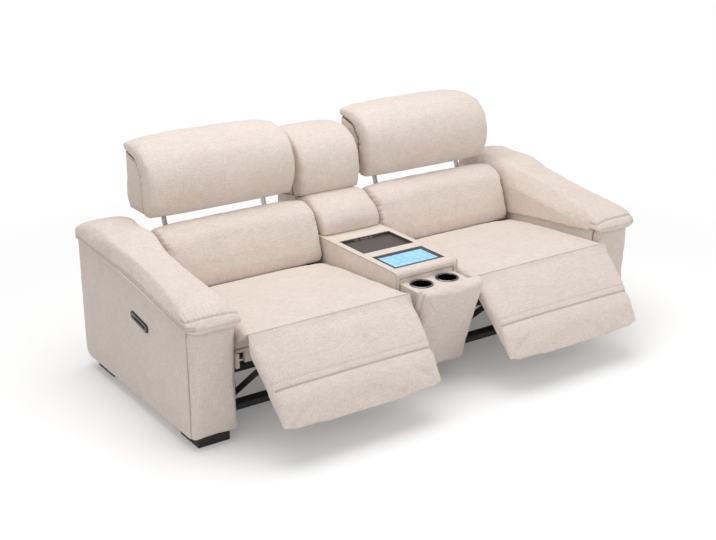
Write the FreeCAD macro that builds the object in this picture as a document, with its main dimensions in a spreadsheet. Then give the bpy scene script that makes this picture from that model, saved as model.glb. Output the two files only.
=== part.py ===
"""Two-seat motion sofa with a fixed console and a tilt-out cup drawer between the seats.

Frame, in millimetres: +X to the right as seen from the front, -Y to the front, +Z up, floor at Z = 0.
Left and right are as seen from the front. The rest pose has both leg rests half out, both headrests
raised and the cup drawer tilted open. The left seat is built first, and the right one mirrors it.
"""

import FreeCAD
import Part
import Sketcher

import math
import os
import re

from FreeCAD import Placement, Rotation, Vector

# Driving dimensions, in millimetres and degrees
SIZES = {
    # Whole sofa
    "overall_width": 2260,
    "arm_front": 382,
    "arm_depth": 1005,
    "fit_gap": 0.3,
    "wall": 18,
    # Arms
    "arm_width": 205,
    "arm_top_front": 500,
    "arm_top_middle": 562,
    "arm_top_rear": 592,
    "arm_middle": 555,
    "arm_heel": 45,
    "panel_thick": 32,
    "panel_inset": 3,
    "panel_corner": 30,
    "panel_edge": 11,
    "pad_front": 62,
    "pad_middle": 80,
    "pad_rear": 66,
    "pad_outside": 20,
    "pad_inside": 15,
    "pad_nose": 30,
    "pad_drop": 15,
    "pad_draw": 15,
    # Feet
    "foot_height": 48,
    "foot_width": 136,
    "foot_depth": 150,
    "foot_side_inset": 36,
    "foot_end_inset": 34,
    "centre_foot": 90,
    # Base frame
    "member_width": 50,
    "member_height": 25,
    "front_member": 150,
    "rear_member": 840,
    "tube_wall": 2,
    "rail_width": 30,
    "rail_height": 26,
    "rail_start": 140,
    "rail_length": 780,
    # Console
    "console_width": 320,
    "console_height": 512,
    "console_setback": 45,
    "console_depth": 660,
    "console_roll": 22,
    "lip_thick": 29,
    "tray_width": 266,
    "tray_length": 190,
    "tray_start": 315,
    "tray_depth": 15,
    "tray_wall": 3,
    "tray_strip": 9,
    "socket_height": 6,
    "socket_proud": 1,
    "display_width": 260,
    "display_length": 167,
    "display_start": 93,
    "display_thick": 11,
    "screen_width": 224,
    "screen_length": 125,
    "screen_thick": 2,
    "bezel_left": 10,
    "bezel_front": 12,
    # Centre back
    "cover_start": 825,
    "cover_depth": 150,
    "centre_head_lean": 9,
    "centre_head_start": 875.3,
    "centre_head_height": 636,
    "centre_head_proud": 5,
    "centre_head_draw": 10,
    "centre_cushion_depth": 240,
    "supply_width": 130,
    "supply_height": 60,
    "supply_depth": 85,
    "inlet_width": 34,
    "inlet_height": 24,
    # Control panels
    "control_back": 422,
    "control_height": 398,
    "control_tilt": 8.5,
    "control_length": 155,
    "control_width": 34,
    "control_thick": 4,
    "control_depth": 22,
    "ring_length": 128,
    "ring_width": 25,
    "ring_band": 4,
    "ring_thick": 1.5,
    "button_pitch": 22,
    "button_length": 15,
    "button_width": 9,
    "button_proud": 2,
    "button_gap": 0.4,
    # Cup drawer
    "drawer_open_angle": 19,
    "drawer_width": 310,
    "drawer_thick": 52,
    "drawer_face": 54,
    "drawer_bottom": 15,
    "drawer_top": 431,
    "drawer_edge": 13,
    "hinge_setback": 37,
    "hinge_height": 83,
    "hinge_pin": 5,
    "running_gap": 0.05,
    "drawer_board": 12,
    "drawer_side_gap": 4,
    "drawer_tray": 377,
    "drawer_back": 13,
    "drawer_back_height": 19,
    "cup_spacing": 132,
    "cup_forward": 41,
    "cup_bore": 41,
    "cup_wall": 1.5,
    "cup_depth": 75,
    "cup_flange": 46,
    "cup_flange_thick": 2,
    "cup_ring": 50,
    "cup_ring_thick": 2.5,
    # Seats
    "seat_side_gap": 5,
    "seat_height": 465,
    "close_travel": 70,
    "seam_setback": 5,
    "seat_length": 628,
    "seat_thick": 120,
    "seat_fall": 42,
    "seat_draw": 15,
    "nose_run": 123,
    "nose_drop": 86,
    "box_height": 60,
    "box_start": 100,
    "box_length": 532,
    "deck_thick": 12,
    "box_board_inset": 60,
    "box_board_start": 35,
    # Seat mechanism
    "plate_inset": 35,
    "plate_thick": 4,
    "link_thick": 5,
    "link_gap": 0.5,
    "link_width": 24,
    "link_run": 220,
    "link_drop": 190,
    "link_pin": 5,
    "open_pivot_gap": 0.5,
    "tube_radius": 12.5,
    "bar_size": 30,
    "bar_start": 405,
    "bar_height": 113,
    "rod_radius": 10,
    "rod_length": 235,
    "motor_start": 485,
    "motor_tube_length": 340,
    "motor_tube_radius": 18,
    "motor_length": 100,
    "motor_width": 70,
    "motor_height": 96,
    # Leg rests
    "legrest_inner_gap": 32,
    "legrest_outer_gap": 19,
    "legrest_out_angle": 46,
    "legrest_thick": 62,
    "legrest_crease": 237,
    "legrest_length": 386,
    "legrest_draw": 14,
    "arm_reach": 110,
    "arm_depth_below": 80,
    # Backs
    "pivot_back": 700,
    "pivot_drop": 93,
    "pivot_pin": 6,
    "back_inner_gap": 7,
    "back_outer_gap": 23,
    "back_lean": 19,
    "back_front": 72,
    "back_thick": 86,
    "back_foot": 150,
    "back_top": 257,
    "back_rail": 57,
    "back_skin": 26,
    "back_post": 40,
    "bracket_lug": 13,
    "bracket_drop": 90,
    "back_cushion_foot": 17,
    "back_cushion_rise": 52,
    "back_cushion_belly": 107,
    "back_draw": 14,
    # Headrests
    "headrest_inner_gap": 35,
    "headrest_outer_gap": 20,
    "headrest_rise": 370.5,
    "headrest_depth": 292,
    "headrest_height": 306,
    "headrest_draw": 15,
    "bar_spacing": 490,
    "bar_back": 120.7,
    "bar_width": 20,
    "bar_thick": 8,
    "bar_foot": 150,
    "bar_engage": 60,
    "bar_groove": 10,
}

# Sizes worked out from the driving ones, as formulas over their names
WORKED_OUT = {
    "half_width": "overall_width / 2",
    "arm_inner": "half_width - arm_width",
    "front": "-arm_front",
    "arm_rear": "front + arm_depth",
    "console_side": "console_width / 2",
    "console_front": "front + console_setback",
    "console_rear": "console_front + console_depth",
    "console_floor": "foot_height + member_height",
    "rail_top": "console_floor + rail_height",
    "cover_front": "front + cover_start",
    "cover_rear": "cover_front + cover_depth",
    "centre_head_y": "front + centre_head_start",
    "seam": "front + seam_setback - close_travel",
    "seat_floor": "seat_height - seat_thick",
    "deck_floor": "seat_floor - deck_thick",
    "box_floor": "seat_floor - box_height",
    "seat_inner": "console_side + seat_side_gap",
    "seat_outer": "arm_inner - seat_side_gap",
    "seat_middle": "(seat_inner + seat_outer) / 2",
    "legrest_inner": "console_side + legrest_inner_gap",
    "legrest_outer": "arm_inner - legrest_outer_gap",
    "back_inner": "console_side + back_inner_gap",
    "back_outer": "arm_inner - back_outer_gap",
    "headrest_inner": "console_side + headrest_inner_gap",
    "headrest_outer": "arm_inner - headrest_outer_gap",
    "headrest_middle": "(headrest_inner + headrest_outer) / 2",
    "hinge_y": "front + hinge_setback",
    "pivot_y": "seam + pivot_back",
    "pivot_z": "seat_height - pivot_drop",
    "pin_y": "arm_depth_below * cos(legrest_out_angle) - arm_reach * sin(legrest_out_angle)",
    "pin_z": "-arm_depth_below * sin(legrest_out_angle) - arm_reach * cos(legrest_out_angle)",
    "outer_plate": "seat_outer - plate_inset",
    "inner_plate": "seat_inner + plate_inset + plate_thick",
    "headrest_y": "pivot_y + bar_back * cos(back_lean) + headrest_rise * sin(back_lean)",
    "headrest_z": "pivot_z - bar_back * sin(back_lean) + headrest_rise * cos(back_lean)",
}

LEAN_AXIS = Vector(-1, 0, 0)
DRAW_STATIONS = 8

doc = FreeCAD.newDocument("motion_sofa")
sheet = doc.addObject("Spreadsheet::Sheet", "Sizes")
for row, (alias, number) in enumerate(SIZES.items(), start=1):
    sheet.set(f"A{row}", str(number))
    sheet.setAlias(f"A{row}", alias)
doc.recompute()

PIECES = []


def linked(formula):
    """Return the formula with each size's name replaced by its sheet cell."""

    def cell(match):
        word = match.group(0)
        if word in WORKED_OUT:
            return f"({linked(WORKED_OUT[word])})"
        if word in SIZES:
            return f"Sizes.{word}"
        return word

    return re.sub(r"[a-z][a-z_]*", cell, str(formula))


def value(formula):
    """Return what a formula comes to now, as a number."""
    return float(sheet.evalExpression(linked(formula)))


def bind(item, path, formula):
    item.setExpression(path, linked(formula))


def place(item, x="0", y="0", z="0", lean=None, axis=LEAN_AXIS):
    """Bind where an object stands, and how far it leans about the axis through that place."""
    if lean is not None:
        item.Placement = Placement(Vector(), Rotation(axis, value(lean)))
        bind(item, "Placement.Rotation.Angle", lean)
    bind(item, "Placement.Base.x", x)
    bind(item, "Placement.Base.y", y)
    bind(item, "Placement.Base.z", z)


def keep(item, label):
    """Give a finished piece its name and put it on the list of pieces to write."""
    item.Label = label
    PIECES.append(item)
    return item


# Rigid pieces


def box(name, corner, size):
    item = doc.addObject("Part::Box", name)
    for path, formula in zip(("Length", "Width", "Height"), size):
        bind(item, path, formula)
    place(item, *corner)
    return item


def cylinder(name, radius, length, at, direction):
    """A round bar from a point, along +X or +Y."""
    item = doc.addObject("Part::Cylinder", name)
    bind(item, "Radius", radius)
    bind(item, "Height", length)
    turn = Rotation(Vector(0, 0, 1), direction)
    item.Placement = Placement(Vector(), turn)
    place(item, *at)
    return item


def joined(name, parts):
    item = doc.addObject("Part::MultiFuse", name)
    item.Shapes = parts
    item.Refine = True
    return item


def cut(name, base, tool):
    item = doc.addObject("Part::Cut", name)
    item.Base = base
    item.Tool = tool
    return item


def group(name, parts):
    item = doc.addObject("Part::Compound", name)
    item.Links = parts
    return item


def mirrored(name, source):
    item = doc.addObject("Part::Mirroring", name)
    item.Source = source
    item.Normal = Vector(1, 0, 0)
    return item


def both_sides(name, parts):
    """Group parts of the left side with their mirror images."""
    left = group(f"{name}_one_side", parts)
    return group(name, [left, mirrored(f"{name}_other_side", left)])


def keep_pair(item, label):
    """Keep a left-hand piece and its right-hand mirror image."""
    keep(item, f"{label}_left")
    keep(mirrored(f"{label}_mirror", item), f"{label}_right")


def sketch_on(body, role, name, offset="0"):
    """Start a sketch on one of the body's own origin planes, at an offset along its normal."""
    plane = [item for item in body.Origin.OriginFeatures if item.Role == role][0]
    sketch = body.newObject("Sketcher::SketchObject", name)
    sketch.AttachmentSupport = (plane, [""])
    sketch.MapMode = "FlatFace"
    bind(sketch, "AttachmentOffset.Base.z", offset)
    return sketch


def pin_point(sketch, edge, end, across, up):
    """Bind one point of a sketch to two formulas, measured from the sketch's origin."""
    for kind, formula in (("DistanceX", across), ("DistanceY", up)):
        limit = Sketcher.Constraint(kind, -1, 1, edge, end, value(formula))
        index = sketch.addConstraint(limit)
        bind(sketch, f"Constraints[{index}]", formula)


def draw_polygon(sketch, corners):
    """Draw a closed outline whose corners are pairs of formulas."""
    points = [Vector(value(across), value(up), 0) for across, up in corners]
    first = sketch.GeometryCount
    count = len(points)
    for index in range(count):
        sketch.addGeometry(Part.LineSegment(points[index], points[(index + 1) % count]))
    for index in range(count):
        following = first + (index + 1) % count
        sketch.addConstraint(Sketcher.Constraint("Coincident", first + index, 2, following, 1))
    for index, (across, up) in enumerate(corners):
        pin_point(sketch, first + index, 1, across, up)


def rectangle(low_across, low_up, high_across, high_up):
    return [
        (low_across, low_up),
        (high_across, low_up),
        (high_across, high_up),
        (low_across, high_up),
    ]


def draw_slot(sketch, length, width):
    """Draw a long hole with round ends, centred on the sketch's origin."""
    half_run = value(f"({length} - {width}) / 2")
    radius = value(f"{width} / 2")
    right_top = Vector(half_run, radius, 0)
    left_top = Vector(-half_run, radius, 0)
    left_low = Vector(-half_run, -radius, 0)
    right_low = Vector(half_run, -radius, 0)
    left_end = Vector(-half_run - radius, 0, 0)
    right_end = Vector(half_run + radius, 0, 0)
    first = sketch.GeometryCount
    sketch.addGeometry(Part.LineSegment(right_top, left_top))
    sketch.addGeometry(Part.Arc(left_top, left_end, left_low))
    sketch.addGeometry(Part.LineSegment(left_low, right_low))
    sketch.addGeometry(Part.Arc(right_low, right_end, right_top))
    # An arc keeps its own direction, so its ends are found by place and not by order
    top, left, low, right = range(first, first + 4)
    for line, end, arc, place_now in (
        (top, 2, left, left_top),
        (low, 1, left, left_low),
        (low, 2, right, right_low),
        (top, 1, right, right_top),
    ):
        arc_end = 1 if sketch.getPoint(arc, 1).distanceToPoint(place_now) < 1e-6 else 2
        sketch.addConstraint(Sketcher.Constraint("Tangent", line, end, arc, arc_end))
    pin_point(sketch, left, 3, f"-({length} - {width}) / 2", "0")
    pin_point(sketch, right, 3, f"({length} - {width}) / 2", "0")
    index = sketch.addConstraint(Sketcher.Constraint("Radius", left, radius))
    bind(sketch, f"Constraints[{index}]", f"{width} / 2")


def draw_circle(sketch, across, up, radius):
    centre = Vector(value(across), value(up), 0)
    ring = sketch.addGeometry(Part.Circle(centre, Vector(0, 0, 1), value(radius)))
    pin_point(sketch, ring, 3, across, up)
    index = sketch.addConstraint(Sketcher.Constraint("Radius", ring, value(radius)))
    bind(sketch, f"Constraints[{index}]", radius)


def pad(body, sketch, length, midplane=False):
    feature = body.newObject("PartDesign::Pad", f"{sketch.Name}_pad")
    feature.Profile = sketch
    feature.Midplane = midplane
    bind(feature, "Length", length)
    sketch.Visibility = False
    return feature


def pocket(body, sketch, length, midplane=False, reverse=False):
    feature = body.newObject("PartDesign::Pocket", f"{sketch.Name}_pocket")
    feature.Profile = sketch
    feature.Midplane = midplane
    feature.Reversed = reverse
    bind(feature, "Length", length)
    return feature


def slab(name, outline, length, role="YZ_Plane", offset="0", midplane=False):
    """A body made by padding one closed outline."""
    body = doc.addObject("PartDesign::Body", name)
    sketch = sketch_on(body, role, f"{name}_outline", offset)
    draw_polygon(sketch, outline)
    pad(body, sketch, length, midplane)
    return body


def round_edges(body, radius, picks):
    """Round each edge of the body's tip that the test picks."""
    doc.recompute()
    base = body.Tip
    names = [f"Edge{index}" for index, edge in enumerate(base.Shape.Edges, 1) if picks(edge)]
    if not names:
        raise ValueError(f"{body.Name} has no edge to round")
    fillet = body.newObject("PartDesign::Fillet", f"{body.Name}_round")
    fillet.Base = (base, names)
    bind(fillet, "Radius", radius)
    return fillet


def runs_along(edge, axis):
    """Whether an edge is straight and runs along the axis 0, 1 or 2."""
    low, high = edge.Vertexes[0].Point, edge.Vertexes[-1].Point
    moved = [abs(high[index] - low[index]) for index in range(3)]
    return moved[axis] > 1 and sum(moved) - moved[axis] < 1e-4


def lies_at(edge, axis, number):
    """Whether a whole edge lies where the coordinate has that number."""
    return all(abs(vertex.Point[axis] - number) < 1e-3 for vertex in edge.Vertexes)


# Padded pieces


def outline_corners(corners, inset):
    """Move each side of an outline inwards by its own share of the inset.

    A corner is (across, up, radius, pull), and its pull is for the side that starts there: 0 keeps a
    side that rests on something, 1 draws it in. The corners run anticlockwise.
    """
    count = len(corners)
    sides = []
    for index in range(count):
        start = Vector(corners[index][0], corners[index][1], 0)
        following = corners[(index + 1) % count]
        along = Vector(following[0], following[1], 0) - start
        along.normalize()
        inwards = Vector(-along.y, along.x, 0)
        sides.append((start + inwards * (inset * corners[index][3]), along))
    moved = []
    for index in range(count):
        point, along = sides[index - 1]
        other, across = sides[index]
        turn = along.x * across.y - along.y * across.x
        gap = other - point
        moved.append(point + along * ((gap.x * across.y - gap.y * across.x) / turn))
    return moved


def rounded_wire(corners, inset, x):
    """One cross-section in the plane of a given X: straight sides joined by tangent arcs."""
    points = outline_corners(corners, inset)
    count = len(points)
    arcs = []
    for index in range(count):
        back = points[index - 1] - points[index]
        ahead = points[(index + 1) % count] - points[index]
        room = 0.47 * min(back.Length, ahead.Length)
        back.normalize()
        ahead.normalize()
        half_angle = back.getAngle(ahead) / 2
        reach = min(corners[index][2] / math.tan(half_angle), room)
        radius = reach * math.tan(half_angle)
        middle = back + ahead
        middle.normalize()
        sagitta = radius / math.sin(half_angle) - radius
        arcs.append(
            [
                points[index] + back * reach,
                points[index] + middle * sagitta,
                points[index] + ahead * reach,
            ]
        )
    edges = []
    for index in range(count):
        start, middle, end = [Vector(x, point.x, point.y) for point in arcs[index]]
        following = arcs[(index + 1) % count][0]
        edges.append(Part.Arc(start, middle, end).toShape())
        edges.append(Part.LineSegment(end, Vector(x, following.x, following.y)).toShape())
    return Part.Wire(edges)


def cushion_shape(corners, low_x, high_x, draw):
    """A crowned pad along X: full size at its middle, drawn in towards both ends."""
    numbers = [(value(across), value(up), radius, pull) for across, up, radius, pull in corners]
    sections = []
    for step in range(DRAW_STATIONS + 1):
        swing = math.cos(math.pi * step / DRAW_STATIONS)
        x = (low_x + high_x) / 2 - swing * (high_x - low_x) / 2
        sections.append(rounded_wire(numbers, draw * swing**4, x))
    return Part.makeLoft(sections, True, False)


def cushion(name, corners, low_x, high_x, draw, at=("0", "0", "0"), lean="0"):
    """A padded piece whose cross-section leans about the point that it is measured from."""
    item = doc.addObject("Part::Feature", name)
    item.Shape = cushion_shape(corners, value(low_x), value(high_x), value(draw))
    base = Vector(*[value(formula) for formula in at])
    item.Placement = Placement(base, Rotation(LEAN_AXIS, value(lean)))
    return item


# Arms


def arm_top(at):
    """The height of the arm's top edge at a distance behind the arm's front face."""
    rise = f"(arm_top_middle - arm_top_front) / (arm_middle - panel_thick)"
    return f"arm_top_front + ({at} - panel_thick) * {rise}"


def arm_shells():
    """Upholstered arm boxes: closed below, open on top under the pad, with a hole for the controls."""
    shell = slab(
        "arm_box",
        [
            ("front + panel_thick", "foot_height"),
            ("arm_rear", "foot_height"),
            ("arm_rear", "arm_top_rear"),
            ("front + arm_middle", "arm_top_middle"),
            ("front + panel_thick", "arm_top_front"),
        ],
        "arm_width",
    )
    heel_y = value("arm_rear")
    heel_z = value("foot_height")
    round_edges(
        shell,
        "arm_heel",
        lambda edge: runs_along(edge, 0) and lies_at(edge, 1, heel_y) and lies_at(edge, 2, heel_z),
    )
    cavity = sketch_on(shell, "YZ_Plane", "arm_cavity", "wall")
    draw_polygon(
        cavity,
        rectangle(
            "front + panel_thick + wall", "foot_height + wall", "arm_rear - wall", "arm_top_rear + wall"
        ),
    )
    pocket(shell, cavity, "arm_width - 2 * wall", reverse=True)
    place(shell, x="-half_width")
    hole = box(
        "control_hole",
        ("0", "0", "0"),
        ("wall * 2", "ring_length", "ring_width + fit_gap * 2"),
    )
    hole_frame = doc.addObject("Part::Compound", "control_hole_frame")
    place(hole, "-wall", "-ring_length / 2", "-ring_width / 2 - fit_gap")
    hole_frame.Links = [hole]
    place_on_arm(hole_frame)
    keep_pair(cut("arm_shell", shell, hole_frame), "arm_shell")


def place_on_arm(item):
    """Set a control piece on the arm's outer face, tilted with the arm pad's slope."""
    place(
        item,
        "-half_width",
        "front + control_back",
        "control_height",
        lean="control_tilt",
        axis=Vector(1, 0, 0),
    )


def arm_front_panels():
    """Padded panels on the arms' front faces, with rounded upper corners."""
    panel = slab(
        "arm_front_board",
        rectangle("-half_width + panel_inset", "foot_height", "-arm_inner - panel_inset", "arm_top_front"),
        "panel_thick",
        role="XZ_Plane",
        offset="-(front + panel_thick)",
    )
    top = value("arm_top_front")
    round_edges(panel, "panel_corner", lambda edge: runs_along(edge, 1) and lies_at(edge, 2, top))
    face = value("front")
    round_edges(panel, "panel_edge", lambda edge: lies_at(edge, 1, face))
    keep(both_sides("front_panels", [panel]), "arm_front_panels")


def arm_pads():
    """Soft arm pads that overhang both sides and roll down over the front."""
    corners = [
        ("front - fit_gap", f"{arm_top('panel_thick')} - pad_drop", 5, 0),
        ("front - fit_gap", f"{arm_top('panel_thick')} + fit_gap", 2, 0),
        ("front + arm_middle", "arm_top_middle + fit_gap", 60, 0),
        ("arm_rear", "arm_top_rear + fit_gap", 8, 1),
        ("arm_rear", "arm_top_rear + pad_rear - 8", 12, 1),
        ("arm_rear - 120", "arm_top_rear + pad_rear + 16", 120, 1),
        ("arm_rear - 330", "arm_top_rear + pad_rear + 12", 200, 1),
        ("front + arm_middle", "arm_top_middle + pad_middle", 300, 1),
        ("front + 280", f"{arm_top('280')} + pad_front + 10", 300, 1),
        ("front + 40", f"{arm_top('40')} + pad_front + 4", 90, 1),
        ("front - pad_nose", f"{arm_top('panel_thick')} + pad_front / 2", 26, 1),
        ("front - pad_nose", f"{arm_top('panel_thick')} - pad_drop", 10, 1),
    ]
    arm_pad = cushion(
        "arm_pad", corners, "-half_width - pad_outside", "-arm_inner + pad_inside", "pad_draw"
    )
    keep_pair(arm_pad, "arm_pad")


def timber_frames():
    """Boards hidden inside the arms and the centre back."""
    inside = "arm_width - 2 * wall"
    left = "-half_width + wall"
    uprights = []
    first = "front + panel_thick + wall"
    last = "arm_rear - 2 * wall"
    for name, y, top in (
        ("arm_upright_front", first, arm_top("panel_thick + wall")),
        ("arm_upright_middle", "front + arm_middle - wall / 2", "arm_top_middle - 2"),
        ("arm_upright_rear", last, "arm_top_middle + wall / 2"),
    ):
        height = f"{top} - wall - foot_height - wall"
        uprights.append(box(name, (left, y, "foot_height + wall"), (inside, "wall", height)))
    fall = "(arm_top_rear - arm_top_middle) / (arm_depth - arm_middle) * wall"
    deck = slab(
        "arm_deck",
        [
            (first, f"{arm_top('panel_thick + wall')} - wall"),
            ("front + arm_middle", "arm_top_middle - wall"),
            ("arm_rear - wall", f"arm_top_rear - {fall} - wall"),
            ("arm_rear - wall", f"arm_top_rear - {fall}"),
            ("front + arm_middle", "arm_top_middle"),
            (first, arm_top("panel_thick + wall")),
        ],
        inside,
    )
    place(deck, x=left)
    arms = both_sides("arm_timber", uprights + [deck])
    post_height = "centre_head_height - 3 * wall - console_floor"
    post = box(
        "centre_post",
        ("-console_width / 2 + wall", "cover_front + wall", "console_floor"),
        ("wall", "cover_depth - 2 * wall", post_height),
    )
    shelf = box(
        "centre_shelf",
        (
            "-console_width / 2 + wall",
            "cover_front + wall",
            "centre_head_height - 3 * wall",
        ),
        ("console_width - 2 * wall", "cover_depth - 2 * wall", "wall"),
    )
    keep(group("timber", [arms, both_sides("centre_posts", [post]), shelf]), "timber_frames")


def feet():
    """Block feet: two under each arm and two under the middle of the base frame."""
    left = "-half_width + foot_side_inset"
    size = ("foot_width", "foot_depth", "foot_height")
    front_foot = box("front_foot", (left, "front + foot_end_inset", "0"), size)
    rear_foot = box(
        "rear_foot", (left, "arm_rear - arm_heel - foot_depth", "0"), size
    )
    middle = []
    for name, start in (("middle_front_foot", "front_member"), ("middle_rear_foot", "rear_member")):
        corner = ("-centre_foot / 2", f"front + {start} + member_width / 2 - centre_foot / 2", "0")
        middle.append(box(name, corner, ("centre_foot", "centre_foot", "foot_height")))
    keep(group("all_feet", [both_sides("arm_feet", [front_foot, rear_foot])] + middle), "feet")


def tube_along_x(name, corner, size):
    """A steel tube of rectangular section, open at both ends."""
    low_x, low_y, low_z = corner
    long, deep, high = size
    outside = box(f"{name}_outside", corner, size)
    inside = box(
        f"{name}_inside",
        (low_x, f"{low_y} + tube_wall", f"{low_z} + tube_wall"),
        (long, f"{deep} - 2 * tube_wall", f"{high} - 2 * tube_wall"),
    )
    return cut(name, outside, inside)


def base_frame():
    """Steel tubes from arm to arm, and the channel rails that the seats run on."""
    members = []
    for name, start in (("front_tube", "front_member"), ("rear_tube", "rear_member")):
        corner = ("-arm_inner", f"front + {start}", "foot_height")
        members.append(tube_along_x(name, corner, ("2 * arm_inner", "member_width", "member_height")))
    rails = []
    for name, plate in (("outer_rail", "outer_plate"), ("inner_rail", "inner_plate")):
        left = f"-({plate} - plate_thick / 2) - rail_width / 2"
        near = "front + rail_start"
        outside = box(
            f"{name}_outside", (left, near, "console_floor"), ("rail_width", "rail_length", "rail_height")
        )
        inside = box(
            f"{name}_inside",
            (f"{left} + tube_wall", near, "console_floor"),
            ("rail_width - 2 * tube_wall", "rail_length", "rail_height - tube_wall"),
        )
        rails.append(cut(name, outside, inside))
    keep(group("base", members + [both_sides("rails", rails)]), "base_frame")


# Console


def console_shell():
    """Upholstered console: two sides, a back wall and a top that rolls over at the front."""
    shell = slab(
        "console_block",
        rectangle("console_front", "console_floor", "console_rear", "console_height"),
        "console_width",
        midplane=True,
    )
    front = value("console_front")
    top = value("console_height")
    round_edges(
        shell,
        "console_roll",
        lambda edge: runs_along(edge, 0) and lies_at(edge, 1, front) and lies_at(edge, 2, top),
    )
    inside = sketch_on(shell, "YZ_Plane", "console_inside")
    draw_polygon(
        inside,
        rectangle(
            "console_front - wall",
            "console_floor - wall",
            "console_rear - wall",
            "console_height - lip_thick",
        ),
    )
    pocket(shell, inside, "console_width - 2 * wall", midplane=True)
    for name, width, start, length, depth in (
        ("tray_recess", "tray_width", "tray_start", "tray_length", "tray_depth"),
        ("display_recess", "display_width", "display_start", "display_length", "display_thick"),
    ):
        recess = sketch_on(shell, "XY_Plane", name, "console_height")
        draw_polygon(
            recess,
            rectangle(
                f"-{width} / 2", f"front + {start}", f"{width} / 2", f"front + {start} + {length}"
            ),
        )
        pocket(shell, recess, depth)
    keep(shell, "console_shell")


def storage_tray():
    """Shallow tray in the console top, with a thicker rear wall that holds the sockets."""
    low = "console_height - tray_depth"
    near = "front + tray_start + fit_gap"
    far = "front + tray_start + tray_length - fit_gap"
    side = "tray_width / 2 - fit_gap"
    tray = slab(
        "tray_block",
        rectangle(f"-({side})", near, side, far),
        "tray_depth - fit_gap",
        role="XY_Plane",
        offset=low,
    )
    well = sketch_on(tray, "XY_Plane", "tray_well", "console_height - fit_gap")
    draw_polygon(
        well,
        rectangle(
            f"-({side}) + tray_wall", f"{near} + tray_wall", f"{side} - tray_wall", f"{far} - tray_strip"
        ),
    )
    pocket(tray, well, "tray_depth - tray_wall")
    keep(tray, "storage_tray")


def charging_sockets():
    """Two small sockets and a wider one, in a row on the tray's rear wall."""
    face = "front + tray_start + tray_length - fit_gap - tray_strip - socket_proud"
    low = "console_height - tray_depth + tray_wall + 2"
    fittings = []
    for name, start, width in (("left", -57, 19), ("middle", -25, 39), ("right", 20, 18)):
        size = (str(width), "socket_proud", "socket_height")
        fittings.append(box(f"{name}_socket", (str(start), face, low), size))
    keep(group("sockets", fittings), "charging_sockets")


def display():
    """Flush display panel: a bezel with the screen set into it."""
    low = "console_height - display_thick"
    near = "front + display_start + fit_gap"
    side = "display_width / 2 - fit_gap"
    bezel = slab(
        "bezel_block",
        rectangle(f"-({side})", near, side, "front + display_start + display_length - fit_gap"),
        "display_thick",
        role="XY_Plane",
        offset=low,
    )
    left = f"-({side}) + bezel_left"
    window = sketch_on(bezel, "XY_Plane", "screen_window", "console_height")
    draw_polygon(
        window,
        rectangle(
            left,
            f"{near} + bezel_front",
            f"{left} + screen_width",
            f"{near} + bezel_front + screen_length",
        ),
    )
    pocket(bezel, window, "screen_thick")
    keep(bezel, "display_bezel")
    corner = (
        f"{left} + fit_gap",
        f"{near} + bezel_front + fit_gap",
        "console_height - screen_thick",
    )
    size = ("screen_width - 2 * fit_gap", "screen_length - 2 * fit_gap", "screen_thick - fit_gap")
    keep(box("screen", corner, size), "display_screen")


# Centre back


def head_floor(y):
    """The height of the centre head cushion's underside at a given Y, less the fitting gap."""
    return f"centre_head_height + (centre_head_y - ({y})) * tan(centre_head_lean) - fit_gap"


def centre_back_cover():
    """Upholstered shell behind the centre cushions, open below, with a window for the power inlet."""
    cover = slab(
        "centre_cover_block",
        [
            ("console_rear", "console_floor"),
            ("cover_rear", "console_floor"),
            ("cover_rear", head_floor("cover_rear")),
            ("cover_front", head_floor("cover_front")),
            ("cover_front", "console_height"),
            ("console_rear", "console_height"),
        ],
        "console_width",
        midplane=True,
    )
    inside = sketch_on(cover, "YZ_Plane", "centre_cover_inside")
    draw_polygon(
        inside,
        rectangle(
            "cover_front + wall",
            "console_floor - wall",
            "cover_rear - wall",
            "centre_head_height - 2 * wall",
        ),
    )
    pocket(cover, inside, "console_width - 2 * wall", midplane=True)
    underside = sketch_on(cover, "YZ_Plane", "centre_cover_shelf")
    draw_polygon(
        underside,
        rectangle(
            "console_rear + wall", "console_floor - wall", "cover_front + wall", "console_height - wall"
        ),
    )
    pocket(cover, underside, "console_width - 2 * wall", midplane=True)
    window = sketch_on(cover, "YZ_Plane", "inlet_window")
    draw_polygon(
        window,
        rectangle(
            "cover_rear - 2 * wall",
            "console_floor + supply_height / 2 - inlet_height / 2 - fit_gap",
            "cover_rear + wall",
            "console_floor + supply_height / 2 + inlet_height / 2 + fit_gap",
        ),
    )
    pocket(cover, window, "inlet_width + 2 * fit_gap", midplane=True)
    keep(cover, "centre_back_cover")


def power_supply():
    """Power unit on the rear member, with its inlet in the cover's window."""
    face = "cover_rear - wall - fit_gap"
    unit = slab(
        "supply_block",
        rectangle(f"{face} - supply_depth", "console_floor", face, "console_floor + supply_height"),
        "supply_width",
        midplane=True,
    )
    middle = "console_floor + supply_height / 2"
    boss = sketch_on(unit, "YZ_Plane", "inlet_boss")
    draw_polygon(
        boss,
        rectangle(face, f"{middle} - inlet_height / 2", "cover_rear", f"{middle} + inlet_height / 2"),
    )
    pad(unit, boss, "inlet_width", midplane=True)
    socket = sketch_on(unit, "YZ_Plane", "inlet_socket")
    draw_polygon(
        socket,
        rectangle(
            "cover_rear - wall",
            f"{middle} - inlet_height / 2 + 3",
            "cover_rear + wall",
            f"{middle} + inlet_height / 2 - 3",
        ),
    )
    pocket(unit, socket, "inlet_width - 6", midplane=True)
    keep(unit, "power_supply")


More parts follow.
